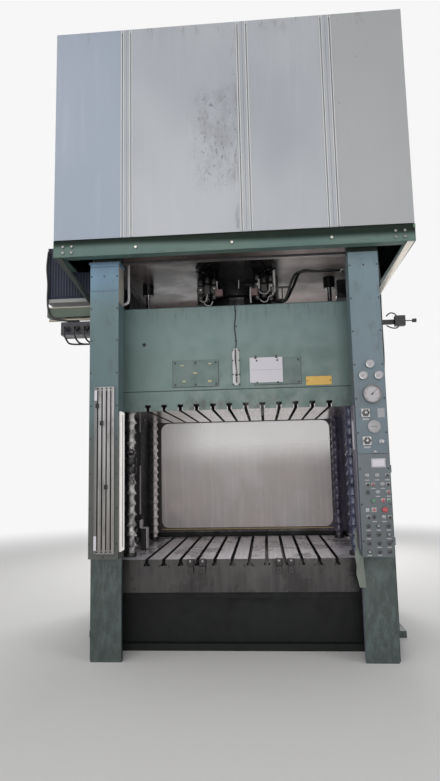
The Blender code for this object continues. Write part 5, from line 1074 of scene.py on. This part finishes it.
SMALL_GAUGES = ((1.109, 2.381, 215), (1.05, 2.288, 240), (1.174, 2.286, 228))
SMALL_CASE = [(0.03, -0.0055), (0.0345, -0.0045), (0.0355, -0.002), (0.0355, 0.01)]
small_front = COVER_FRONT - 0.018
for number, (x, z, angle) in enumerate(SMALL_GAUGES, 1):
    at = [(x, z)]
    name = f"small_gauge_case_{number}"
    fitted(name, bezel_steel, SMALL_CASE, at, small_front, 40, bevel=0.0006)
    face = [(0.0285, -0.0066), (0.0285, -0.004)]
    fitted(f"small_gauge_face_{number}", dial_face, face, at, small_front, 40)
    sweep = range(225, 496, 30)
    marks = bars_around((x, z), small_front - 0.0064, 0.021, 0.027, 0.0016, sweep, 0.0006)
    hand = bars_around((x, z), small_front - 0.0068, -0.006, 0.021, 0.0022, [angle], 0.0006)
    hub = turned([(0.003, -0.009), (0.003, -0.006)], [(x, small_front, z)], 12)
    shape(f"small_gauge_marks_{number}", tick_black, marks, hand, hub, smooth=False)

# The large gauge has a bezel turned round its dial, a closed ring of the section below.
GAUGE = (1.114, 2.135)
GAUGE_OUT, GAUGE_IN, GAUGE_DEEP = 0.0765, 0.066, 0.012
wear(dial_face, "gauge")
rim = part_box("gauge")[0][1]
section = np.array([
    (GAUGE_OUT, 0.026), (GAUGE_OUT, 0.003), (GAUGE_OUT - 0.003, -0.001),
    (GAUGE_IN + 0.002, -0.001), (GAUGE_IN, 0.002), (GAUGE_IN, GAUGE_DEEP - 0.0005),
    (GAUGE_IN + 0.004, GAUGE_DEEP + 0.002), (GAUGE_OUT - 0.006, 0.026),
])
angle = 2 * np.pi * np.arange(64) / 64
radius, deep = section[:, :1], section[:, 1:]
round_x, round_z = radius * np.sin(angle), radius * np.cos(angle)
ring = np.stack((GAUGE[0] + round_x, rim + deep + 0 * angle, GAUGE[1] + round_z), -1)
here = np.arange(len(section) * 64).reshape(-1, 64)
after = np.roll(here, -1, axis=1)
faces = np.stack((here, after, np.roll(after, -1, axis=0), np.roll(here, -1, axis=0)), -1)
grey_bezel = plain("grey_bezel", (0.115, 0.118, 0.12), 0.3, 0.3)
shape("gauge_bezel", grey_bezel, (ring.reshape(-1, 3), faces.reshape(-1, 4).tolist()))
face_y = rim + GAUGE_DEEP
marks = bars_around(GAUGE, face_y, 0.054, 0.062, 0.0016, range(225, 496, 9), 0.0007)
long_marks = bars_around(GAUGE, face_y, 0.048, 0.062, 0.0026, range(225, 496, 45), 0.0008)
shape("gauge_ticks", tick_black, marks, long_marks, smooth=False)
limit = bars_around(GAUGE, face_y, 0.05, 0.062, 0.0034, [405], 0.001)
shape("gauge_limit", dial_red, limit, smooth=False)
wear(tick_black, "gauge_needle")

VALVES = (("valve_knob_upper", "upper", 1.982), ("valve_knob_lower", "lower", 1.757))
knob_black = plain("knob_black", (0.014, 0.014, 0.015), 0.35)
wear(knob_black, "valve_knob_upper", "valve_knob_lower", "selector")
for knob, name, z in VALVES:
    cap = [(0.008, -0.004), (0.012, -0.002), (0.012, 0.001)]
    on_face(f"knob_cap_{name}", bezel_steel, cap, knob, 20)
    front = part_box(knob)[0][1]
    mark = boxes((1.0525, front - 0.0012, z + 0.013, 1.0555, front + 0.001, z + 0.026))
    shape(f"knob_mark_{name}", card_white, mark, body=knob, smooth=False)

# Plates, labels, a switch disc, a small valve and a lock, all on the cover's front: each
# box is a low corner and a high one, with y counted from the front.
valve_plate = plain("valve_plate_metal", (0.3, 0.3, 0.3), 0.35, 0.6)
label_white = plain("blank_label", (0.36, 0.37, 0.39), 0.5)
pale_plate = plain("pale_plate_metal", (0.215, 0.222, 0.24), 0.38, 0.3)
disc_grey = plain("disc_grey", (0.3, 0.3, 0.315), 0.4)


def on_cover(name, paint, rows, bevel=0.0, body="frame"):
    """Boxes on the front of a cover, left sharp where they have no bevel."""
    rows = np.array(rows, float).reshape(-1, 2, 3) + (0, COVER_FRONT, 0)
    shape(name, paint, boxes(rows), body=body, bevel=bevel, smooth=bevel > 0)


valve_z = (VALVES[0][2], VALVES[1][2])
plates = [(1.02, -0.0072, z - 0.034, 1.088, -0.006, z + 0.034) for z in valve_z]
on_cover("valve_plates", valve_plate, plates, 0.0004)
labels = [(1.028, -0.0015, z, 1.08, 0.001, z + 0.014) for z in (1.924, 1.699)]
on_cover("valve_labels", label_white, labels)
on_cover("pale_plate", pale_plate, (1.147, -0.003, 1.94, 1.207, 0.001, 2.018), 0.0015)
disc = [(0.046, -0.014), (0.0505, -0.0125), (0.0505, 0.0)]
fitted("grey_disc", disc_grey, disc, [(1.116, 1.871)], COVER_FRONT, 44)
on_cover("disc_slot", tick_black, (1.094, -0.0165, 1.8695, 1.138, -0.012, 1.8725))
knob = [(0.012, -0.028), (0.015, -0.025), (0.015, -0.004), (0.02, -0.003), (0.02, 0.001)]
fitted("small_valve_knob", bezel_steel, knob, [(1.172, 1.75)], COVER_FRONT, 28)
lock = [(0.009, -0.008), (0.012, -0.006), (0.012, 0.001)]
fitted("cover_lock", bezel_steel, lock, [(1.116, 1.668)], COVER_FRONT)
on_cover("cover_keyhole", tick_black, (1.1145, -0.0088, 1.663, 1.1175, -0.0078, 1.673))
sign = (1.08, -0.0022, 1.545, 1.19, 0.001, 1.615)
on_cover("blank_sign", card_white, sign, 0.0006, "control_door")
border = [
    (1.084, -0.0028, 1.549, 1.186, -0.0018, 1.551),
    (1.084, -0.0028, 1.609, 1.186, -0.0018, 1.611),
    (1.084, -0.0028, 1.549, 1.086, -0.0018, 1.611),
    (1.184, -0.0028, 1.549, 1.186, -0.0018, 1.611),
]
on_cover("sign_border", tick_black, border, body="control_door")

# Push-buttons and lamps: a metal collar with a coloured cap in it.
COLLAR = [(0.015, -0.005), (0.0172, -0.0035), (0.0172, 0.001)]
CAP = [(0.0095, -0.014), (0.0125, -0.012), (0.0125, -0.004)]
button_red = plain("button_red", (0.4, 0.06, 0.065), 0.3, 0.0, 0.3)
button_rust = plain("button_dull_red", (0.2, 0.075, 0.08), 0.35)
button_green = plain("button_green", (0.055, 0.17, 0.1), 0.3, 0.0, 0.3)
button_pale = plain("lamp_pale", (0.25, 0.26, 0.27), 0.3, 0.0, 0.3)
BUTTONS = (
    (button_pale, ((1.04, 1.481), (1.118, 1.481), (1.157, 1.411), (1.117, 1.349), (1.155, 1.155))),
    (knob_black, ((1.197, 1.481), (1.2, 1.411), (1.041, 1.411), (1.2, 1.155), (1.036, 1.155))),
    (button_rust, ((1.083, 1.411), (1.2, 1.349))),
    (button_red, ((1.155, 1.286),)),
    (button_green, ((1.2, 1.286),)),
)


def on_door(name, paint, profile, places, sides, front=COVER_FRONT):
    """Turned pieces on the door, riding with it."""
    fitted(name, paint, profile, places, front, sides, body="control_door")


every = [place for _, places in BUTTONS for place in places]
on_door("button_collars", bezel_steel, COLLAR, every, 28)
for paint, places in BUTTONS:
    on_door("caps_" + paint.made.name, paint, CAP, places, 24)
wear(button_red, "stop_button")
wear(button_green, "start_button")
squares = [
    (1.016, -0.003, 1.199, 1.044, 0.001, 1.227),
    (1.062, -0.003, 1.195, 1.1, 0.001, 1.231),
]
on_cover("white_squares", label_white, squares, 0.0008, "control_door")
small_cap = [(0.009, -0.012), (0.011, -0.01), (0.011, -0.002)]
on_door("small_red_cap", button_red, small_cap, [(1.081, 1.213)], 24)
toggle = [(0.011, -0.006), (0.012, -0.004), (0.012, 0.001)]
toggle = turned(toggle, [(1.081, COVER_FRONT, 1.155)], 20)
lever = boxes((1.0775, COVER_FRONT - 0.02, 1.15, 1.0845, COVER_FRONT - 0.004, 1.172))
shape("toggle_switch", knob_black, toggle, lever, body="control_door", bevel=0.0008)

# Lower rows: small key switches and lamps in front of the fused bosses.
rows = [(x, z) for z in (1.089, 1.023, 0.957, 0.891) for x in (1.03, 1.108, 1.186)]
row_front = COVER_FRONT - 0.008
inner = [(0.008, -0.0085), (0.0098, -0.007), (0.0098, 0.004)]
sockets = [(0.0125, -0.0046), (0.015, -0.0036), (0.015, 0.009)]
on_door("row_sockets", fitting_grey, sockets, rows, 24, row_front)
pale_rows = rows[1::4]
dark_rows = [place for place in rows if place not in pale_rows]
on_door("row_caps_dark", knob_black, inner, dark_rows, 20, row_front)
on_door("row_caps_pale", button_pale, inner, pale_rows, 20, row_front)
LABELS = (
    (1.03, 1.056), (1.108, 1.056), (1.186, 1.056), (1.03, 0.99), (1.186, 0.99),
    (1.108, 0.924), (1.186, 0.924), (1.03, 0.864), (1.108, 0.864), (1.118, 1.446),
    (1.04, 1.446), (1.197, 1.446), (1.083, 1.38), (1.157, 1.38), (1.117, 1.318),
    (1.2, 1.318), (1.155, 1.123), (1.081, 1.123),
)
labels = around([(x, 0, z) for x, z in LABELS], (-0.017, -0.001, -0.0035), (0.017, 0.001, 0.0035))
on_cover("button_labels", label_white, labels, body="control_door")

# Inner side: a dark light-strip housing with one lit lens, and a bent green splash plate
# that stands below it beside the table.
strip_dark = plain("strip_dark", (0.085, 0.085, 0.12), 0.4)
housing = boxes((0.959, -1.19, 0.903, 0.9755, -1.066, 2.052))
shape("light_strip_right", strip_dark, housing, bevel=0.003)
lens_blue = plain("lens_grey_blue", (0.46, 0.48, 0.56), 0.2)
lens = boxes((0.9578, -1.184, 1.69, 0.96, -1.11, 1.925))
shape("light_strip_lens_right", lens_blue, lens, smooth=False)
PLATE_ROWS = 25
t = np.linspace(0, 1, PLATE_ROWS)
left = 0.968 - 0.026 * np.sin(np.pi * np.clip(t * 0.9, 0, 1)) ** 0.5 + 0.004 * np.sin(21 * t)
right_edge = 1.004 + 0.014 * np.clip(1 - t * 2.5, 0, 1)
height = 0.585 + 0.475 * t
front = -1.05 - 0.01 * np.sin(np.pi * t)
back = front + 0.003
edges = ((left, front), (right_edge, front), (right_edge, back), (left, back))
plate = np.stack([np.stack((x, y, height), 1) for x, y in edges], 1).reshape(-1, 3)
plate_green = painted("splash_plate_paint", (0.15, 0.175, 0.15), (0.1, 0.1, 0.08), 0.4, 0.45)
shape("splash_plate", plate_green, (plate, tube_faces(PLATE_ROWS, 4)))

# Rear guard
# A dark framed window closes the back of the die space. Its clear sheet is scuffed and hazy, paler
# at one side, with wipe marks, and has a faint painted glow as light from behind; the frame's
# front is painted paler on its right as hazy light; small screws hold the frame.
GUARD_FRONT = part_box("guard_frame")[0][1]


def hazy_sheet():
    """Clear sheet, whitish with haze that pales upwards, partly painted light from behind, with
    wipe marks and scuffs, and a faint glow of its own colour as painted light from behind; it is
    clearest at the top right."""
    paint = Paint("scuffed_clear_sheet")
    paint.base(paint.along("Z", 0.9, 2.1), (0.28, 0.255, 0.255), (0.46, 0.43, 0.425))
    wash = paint.cloud(0.42, (1, 1, 0.8), 2.0, 0.5, 0.38, 0.66)
    paint.over((0.56, 0.5, 0.485), wash, 0.4)
    streaks = paint.cloud(0.035, (1, 1, 0.05), 5.0, 0.6, 0.45, 0.75)
    paint.over((0.64, 0.61, 0.6), streaks, 0.22)
    scuffs = paint.cloud(0.05, (1, 1, 0.25), 7.0, 0.7, 0.58, 0.72)
    paint.over((0.12, 0.105, 0.1), scuffs, paint.along("Z", 1.0, 1.5, 1.0, 0.25), 0.45)
    across = paint.along("X", -1.05, -0.35, 0.4, 1.0)
    clear = paint.times(paint.along("Z", 1.42, 1.9), across, 0.6)
    # The sheet glows faintly in its own colour: painted light from behind.
    paint.set(Alpha=paint.maths("SUBTRACT", 0.97, clear), Emission_Color=paint.colour)
    rough = paint.between(wash, 0.0, 1.0, 0.3, 0.48)
    return paint.done(Roughness=rough, Emission_Strength=0.16)


wear(hazy_sheet(), "guard_window")
guard_paint = painted("guard_frame_paint", (0.034, 0.026, 0.023), (0.13, 0.1, 0.08), 0.5, 0.45)
# Paler and purplish towards +X on the frame's front: painted hazy light.
right_haze = guard_paint.along("X", 0.8, 1.06)
guard_paint.over((0.085, 0.072, 0.11), right_haze, guard_paint.facing("Y", -1))
wear(guard_paint.done(), "guard_frame")
guard_screws = [(x, z) for x in np.linspace(-0.95, 0.95, 9) for z in (0.832, 2.15)]
guard_screws += [(x, z) for x in (-1.07, 1.07) for z in (1.05, 1.35, 1.65, 1.95)]
fitted("guard_screws", screw_dark, PAN, guard_screws, GUARD_FRONT, 12)
sill = boxes((-1.0, GUARD_FRONT - 0.006, 0.846, 1.0, GUARD_FRONT + 0.001, 0.858))
shape("guard_sill", plain("sill_yellow", (0.36, 0.27, 0.12), 0.5), sill, bevel=0.001)
gap_plate = [
    (-1.09, 0.8005, 0.706, 1.09, 0.812, 0.778),
    (-1.139, 0.811, 0.758, 1.139, GUARD_FRONT - 0.011, 0.774),
    (-1.139, GUARD_FRONT - 0.0125, 0.758, 1.139, GUARD_FRONT - 0.0005, 0.816),
]
shape("gap_plate", bed_paint, boxes(gap_plate), bevel=0.001)

# Bellows
# Four pleated covers guard the guide columns of the tooling, stretched between the bolster and the
# ram. Their ridges are sharp and the cloth between them hangs in a hollow; the front left one is
# worn, dirty and sagged at its foot.
CLOTH_TOP, CLOTH_BOTTOM = 2.0894, 0.7806
CLOTH_SIDES, PLEAT_RINGS = 44, 10
rng = np.random.default_rng(7)


def pleated(x, y, radius, pleats, sag):
    """Rings whose radius falls steeply under each ridge, as the root of a sine of the root of
    the height, and rises slowly to the next. Each ridge swells and leans a little, more
    where it has sagged."""
    t = np.linspace(0, 1, pleats * PLEAT_RINGS + 1)
    phase = pleats * t
    number = np.minimum(phase.astype(int), pleats - 1)
    swell = 1 - (0.05 + 0.1 * sag) * rng.random(pleats)
    lean = (0.003 + 0.008 * sag) * (rng.random((pleats, 2)) - 0.5)
    wave = 1 - np.abs(np.sin(np.pi * (phase - number) ** 0.72)) ** 0.8
    ring = radius * (0.62 + (0.36 + 0.02 * sag) * wave * swell[number])
    angle = 2 * np.pi * np.arange(CLOTH_SIDES) / CLOTH_SIDES
    wrinkle = np.sin(5 * angle[None] + 1.7 * number[:, None]) * wave[:, None]
    ring = ring[:, None] * (1 + (0.01 + 0.03 * sag) * wrinkle)
    middle = np.array((x, y)) + lean[number] * wave[:, None]
    round_x = middle[:, :1] + ring * np.cos(angle)
    round_y = middle[:, 1:] + ring * np.sin(angle)
    height = ((1 - t) * CLOTH_TOP + t * CLOTH_BOTTOM)[:, None] + 0 * ring
    points = np.stack((round_x, round_y, height), -1).reshape(-1, 3)
    return points, tube_faces(len(t), CLOTH_SIDES, flip=True)


def cloth(name, dark, light, rough, grime_and_shade=0.0, shade_end=0.3, creases=0.2):
    """Coated cloth in two tones, painted dark on the side towards -X as shade, by a given share,
    up to a given direction along X. Strong creases bring a worn black band and, at the foot, dark
    mottling as painted shade in the creases."""
    paint = Paint(name)
    paint.base(paint.cloud(0.09, (1, 1, 0.6), 5.0, 0.6, 0.3, 0.66), dark, light)
    # The side towards -X is darkened: painted shade.
    shade_share = paint.between(paint.place("X", "Normal"), shade_end - 0.75, shade_end, grime_and_shade, 0.0)
    paint.over((0.006, 0.006, 0.008), shade_share)
    if creases > 0.5:
        worn = patch(paint, (-2.0, -2.0, 1.47), (2.0, 2.0, 1.74), 0.07)
        black = paint.cloud(0.022, EVEN, 5.0, 0.7, 0.48, 0.6, 1.0, 0.25)
        paint.over((0.01, 0.008, 0.012), worn, black)
        # Dark mottling at the foot: painted shade in the creases.
        foot = paint.along("Z", 1.0, 1.25, 1.0, 0.25)
        crease_shade = paint.cloud(0.03, EVEN, 4.0, 0.6, 0.4, 0.54, 0.68, 0.0)
        paint.over((0.03, 0.027, 0.027), foot, crease_shade)
    paint.bump(paint.noise(0.028, EVEN, 3.0, 0.6), creases, 0.012)
    return paint.done(Roughness=rough, Coat_Weight=0.5, Coat_Roughness=0.22)


def folding(obj, x):
    """Gives the piece a mesh of its own."""
    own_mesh(obj)


# The four covers are one cloth in tints set by how light falls: grey on the front left, pale as
# painted light on the rear left, navy and dim purple as painted hazy light on the right; both left
# ones are painted dark on their -X side as shade.
grey, light_grey = (0.24, 0.225, 0.225), (0.9, 0.88, 0.87)
pale, light_pale = (0.56, 0.52, 0.5), (0.96, 0.93, 0.91)
cloth_grey = cloth("coated_cloth_grey", grey, light_grey, 0.24, 0.96, 0.52, 0.8)
cloth_pale = cloth("coated_cloth_pale", pale, light_pale, 0.28, 0.92, 0.42)
cloth_navy = cloth("coated_cloth_navy", (0.022, 0.026, 0.055), (0.105, 0.115, 0.2), 0.28)
cloth_dim = cloth("coated_cloth_dim", (0.046, 0.04, 0.066), (0.12, 0.108, 0.165), 0.35)
for place, x, y, radius, pleats, sag, paint in (
    ("front_left", -1.015, -0.615, 0.06, 14, 1.0, cloth_grey),
    ("front_right", 1.015, -0.615, 0.06, 15, 0.2, cloth_navy),
    ("rear_left", -1.015, 0.56, 0.05, 16, 0.0, cloth_pale),
    ("rear_right", 1.015, 0.56, 0.05, 16, 0.0, cloth_dim),
):
    obj = shape(f"pleats_{place}", paint, pleated(x, y, radius, pleats, sag))
    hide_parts(f"bellows_{place}")
    folding(obj, x)
    collar = [(radius - 0.002, 0.0), (radius, 0.003), (radius, 0.03), (radius - 0.002, 0.033)]
    foot = turned(collar, [(x, y, CLOTH_BOTTOM)], CLOTH_SIDES, "Z")
    folding(shape(f"collar_{place}", hose_black, foot), x)
strap = [(0.0575, -0.03), (0.06, -0.026), (0.06, 0.026), (0.0575, 0.03)]
straps = turned(strap, [(-1.015, -0.615, z) for z in (1.64, 1.56)], CLOTH_SIDES, "Z")
folding(shape("bellows_straps", hose_black, straps), -1.015)

# Pieces at the left side
# A dark blue ribbed cabinet hangs on the left upright, over a folded lip painted pale as a
# highlight, a green channel beam with a painted highlight along its top edge, and a valve block
# with pipes; a dark cable runs down beside it.


def navy():
    """Dark blue paint with upright clouds of fading, and a pale band along the foot as a painted
    highlight on the lip.
    """
    paint = Paint("navy_cabinet_paint")
    fade = paint.cloud(0.2, (1, 1, 0.4), 4.0, 0.55, 0.35, 0.68)
    paint.base(fade, (0.006, 0.009, 0.024), (0.014, 0.02, 0.046))
    # A pale band along the foot: painted highlight on the lip.
    paint.over((0.3, 0.3, 0.3), paint.along("Z", 3.112, 3.116, 1.0, 0.0))
    return paint.done(Roughness=0.5, Specular_IOR_Level=0.25)


wear(navy(), "side_cabinet")
wear(painted("beam_paint", (0.06, 0.085, 0.06), (0.3, 0.28, 0.22), 0.6, 0.45), "side_beam")
RIB, RIB_STEP = 0.011, 0.026
RIB_FOOT, RIB_TOP, LOW_RIB_TOP = 3.14, 3.596, 3.356
rib_paint = plain("rib_blue", (0.008, 0.011, 0.028), 0.55)
ribs = [
    (x, -0.9655, RIB_FOOT, x + RIB, -0.959, RIB_TOP if x < -1.53 else LOW_RIB_TOP)
    for x in np.arange(-1.6905, -1.285, RIB_STEP)
]
shape("cabinet_ribs", rib_paint, boxes(ribs), bevel=0.0015)
ribs = [
    (-1.706, y, RIB_FOOT, -1.699, y + RIB, RIB_TOP) for y in np.arange(-0.945, -0.345, RIB_STEP)
]
shape("cabinet_side_ribs", rib_paint, boxes(ribs), bevel=0.0015)
# A pale strip along the beam's top edge: painted highlight.
beam_highlight = boxes((-1.7, -0.964, 3.03, -1.285, -0.9585, 3.041))
shape("beam_edge", plain("beam_edge_highlight", (0.3, 0.28, 0.24), 0.4, 0.4), beam_highlight, bevel=0.001)
long_pipe = [
    (-1.69, -0.93, 2.925), (-1.6, -0.93, 2.925), (-1.45, -0.93, 2.928), (-1.3, -0.93, 2.925),
]
short_pipe = [(-1.66, -0.9, 2.945), (-1.5, -0.9, 2.948), (-1.3, -0.9, 2.945)]
pipe_zinc = plain("pipe_zinc", (0.4, 0.37, 0.31), 0.35, 0.7)
shape("side_pipes", pipe_zinc, bent(long_pipe, 0.011), bent(short_pipe, 0.008))
ports = [(-1.4203 + i * 0.09, 2.84) for i in (-1, 0, 1)]
port_nut = [(0.018, -0.014), (0.02, -0.011), (0.02, 0.004)]
fitted("port_nuts", fitting_grey, port_nut, ports, -1.003, 6, bevel=0.001)
DROP = (
    # x from the port, y, z
    (0, -1.012, 2.84), (0, -1.045, 2.825), (0, -1.05, 2.775), (0.02, -1.03, 2.715),
    (0.05, -0.98, 2.69),
)
drops = [
    bent([(x + out, y, z) for out, y, z in DROP] + [(-1.275, -0.95, 2.69)], 0.008)
    for x, _ in ports
]
shape("side_hoses", hose_black, *drops)
cable = [
    (-1.688, -0.985, 3.56), (-1.694, -1.0, 3.4), (-1.684, -0.995, 3.25),
    (-1.69, -0.985, 3.1), (-1.68, -0.975, 3.0), (-1.64, -0.97, 2.94),
    (-1.52, -0.965, 2.91), (-1.4, -0.96, 2.905),
]
shape("side_cable", hose_black, bent(cable, 0.009, 10, 8))

# Pieces at the right side
# A sensor arm with a small box and a lamp, its cable looped back to the upright, and
# black cables that hang down the outer edge of the right cover.
sensor_black = plain("sensor_black", (0.016, 0.016, 0.017), 0.4)
wear(sensor_black, "sensor_arm", "sensor_head")
low_loop = [
    (1.54, -0.465, 2.872), (1.525, -0.475, 2.848), (1.49, -0.48, 2.842),
    (1.455, -0.48, 2.852), (1.425, -0.47, 2.872),
]
high_loop = [
    (1.53, -0.465, 2.955), (1.5, -0.475, 2.985), (1.46, -0.475, 2.99), (1.424, -0.47, 2.962),
]
shape("sensor_cables", hose_black, *(bent(loop, 0.006, 8, 8) for loop in (low_loop, high_loop)))
lamp = turned([(0.011, -0.014), (0.013, -0.01), (0.013, 0.012)], [(1.684, -0.45, 2.916)], 20, "X")
shape("sensor_lamp", bezel_steel, lamp)
thick_fall = [
    (1.245, -1.045, 3.4), (1.25, -1.06, 3.2), (1.246, -1.055, 2.9), (1.251, -1.062, 2.6),
    (1.247, -1.056, 2.3), (1.25, -1.06, 2.0), (1.246, -1.055, 1.72), (1.238, -1.05, 1.6),
]
thin_fall = [
    (1.262, -1.03, 3.4), (1.266, -1.042, 3.1), (1.262, -1.046, 2.8), (1.264, -1.044, 2.5),
    (1.258, -1.04, 2.35),
]
shape("cover_cables", hose_black, bent(thick_fall, 0.008, 8), bent(thin_fall, 0.006, 8))
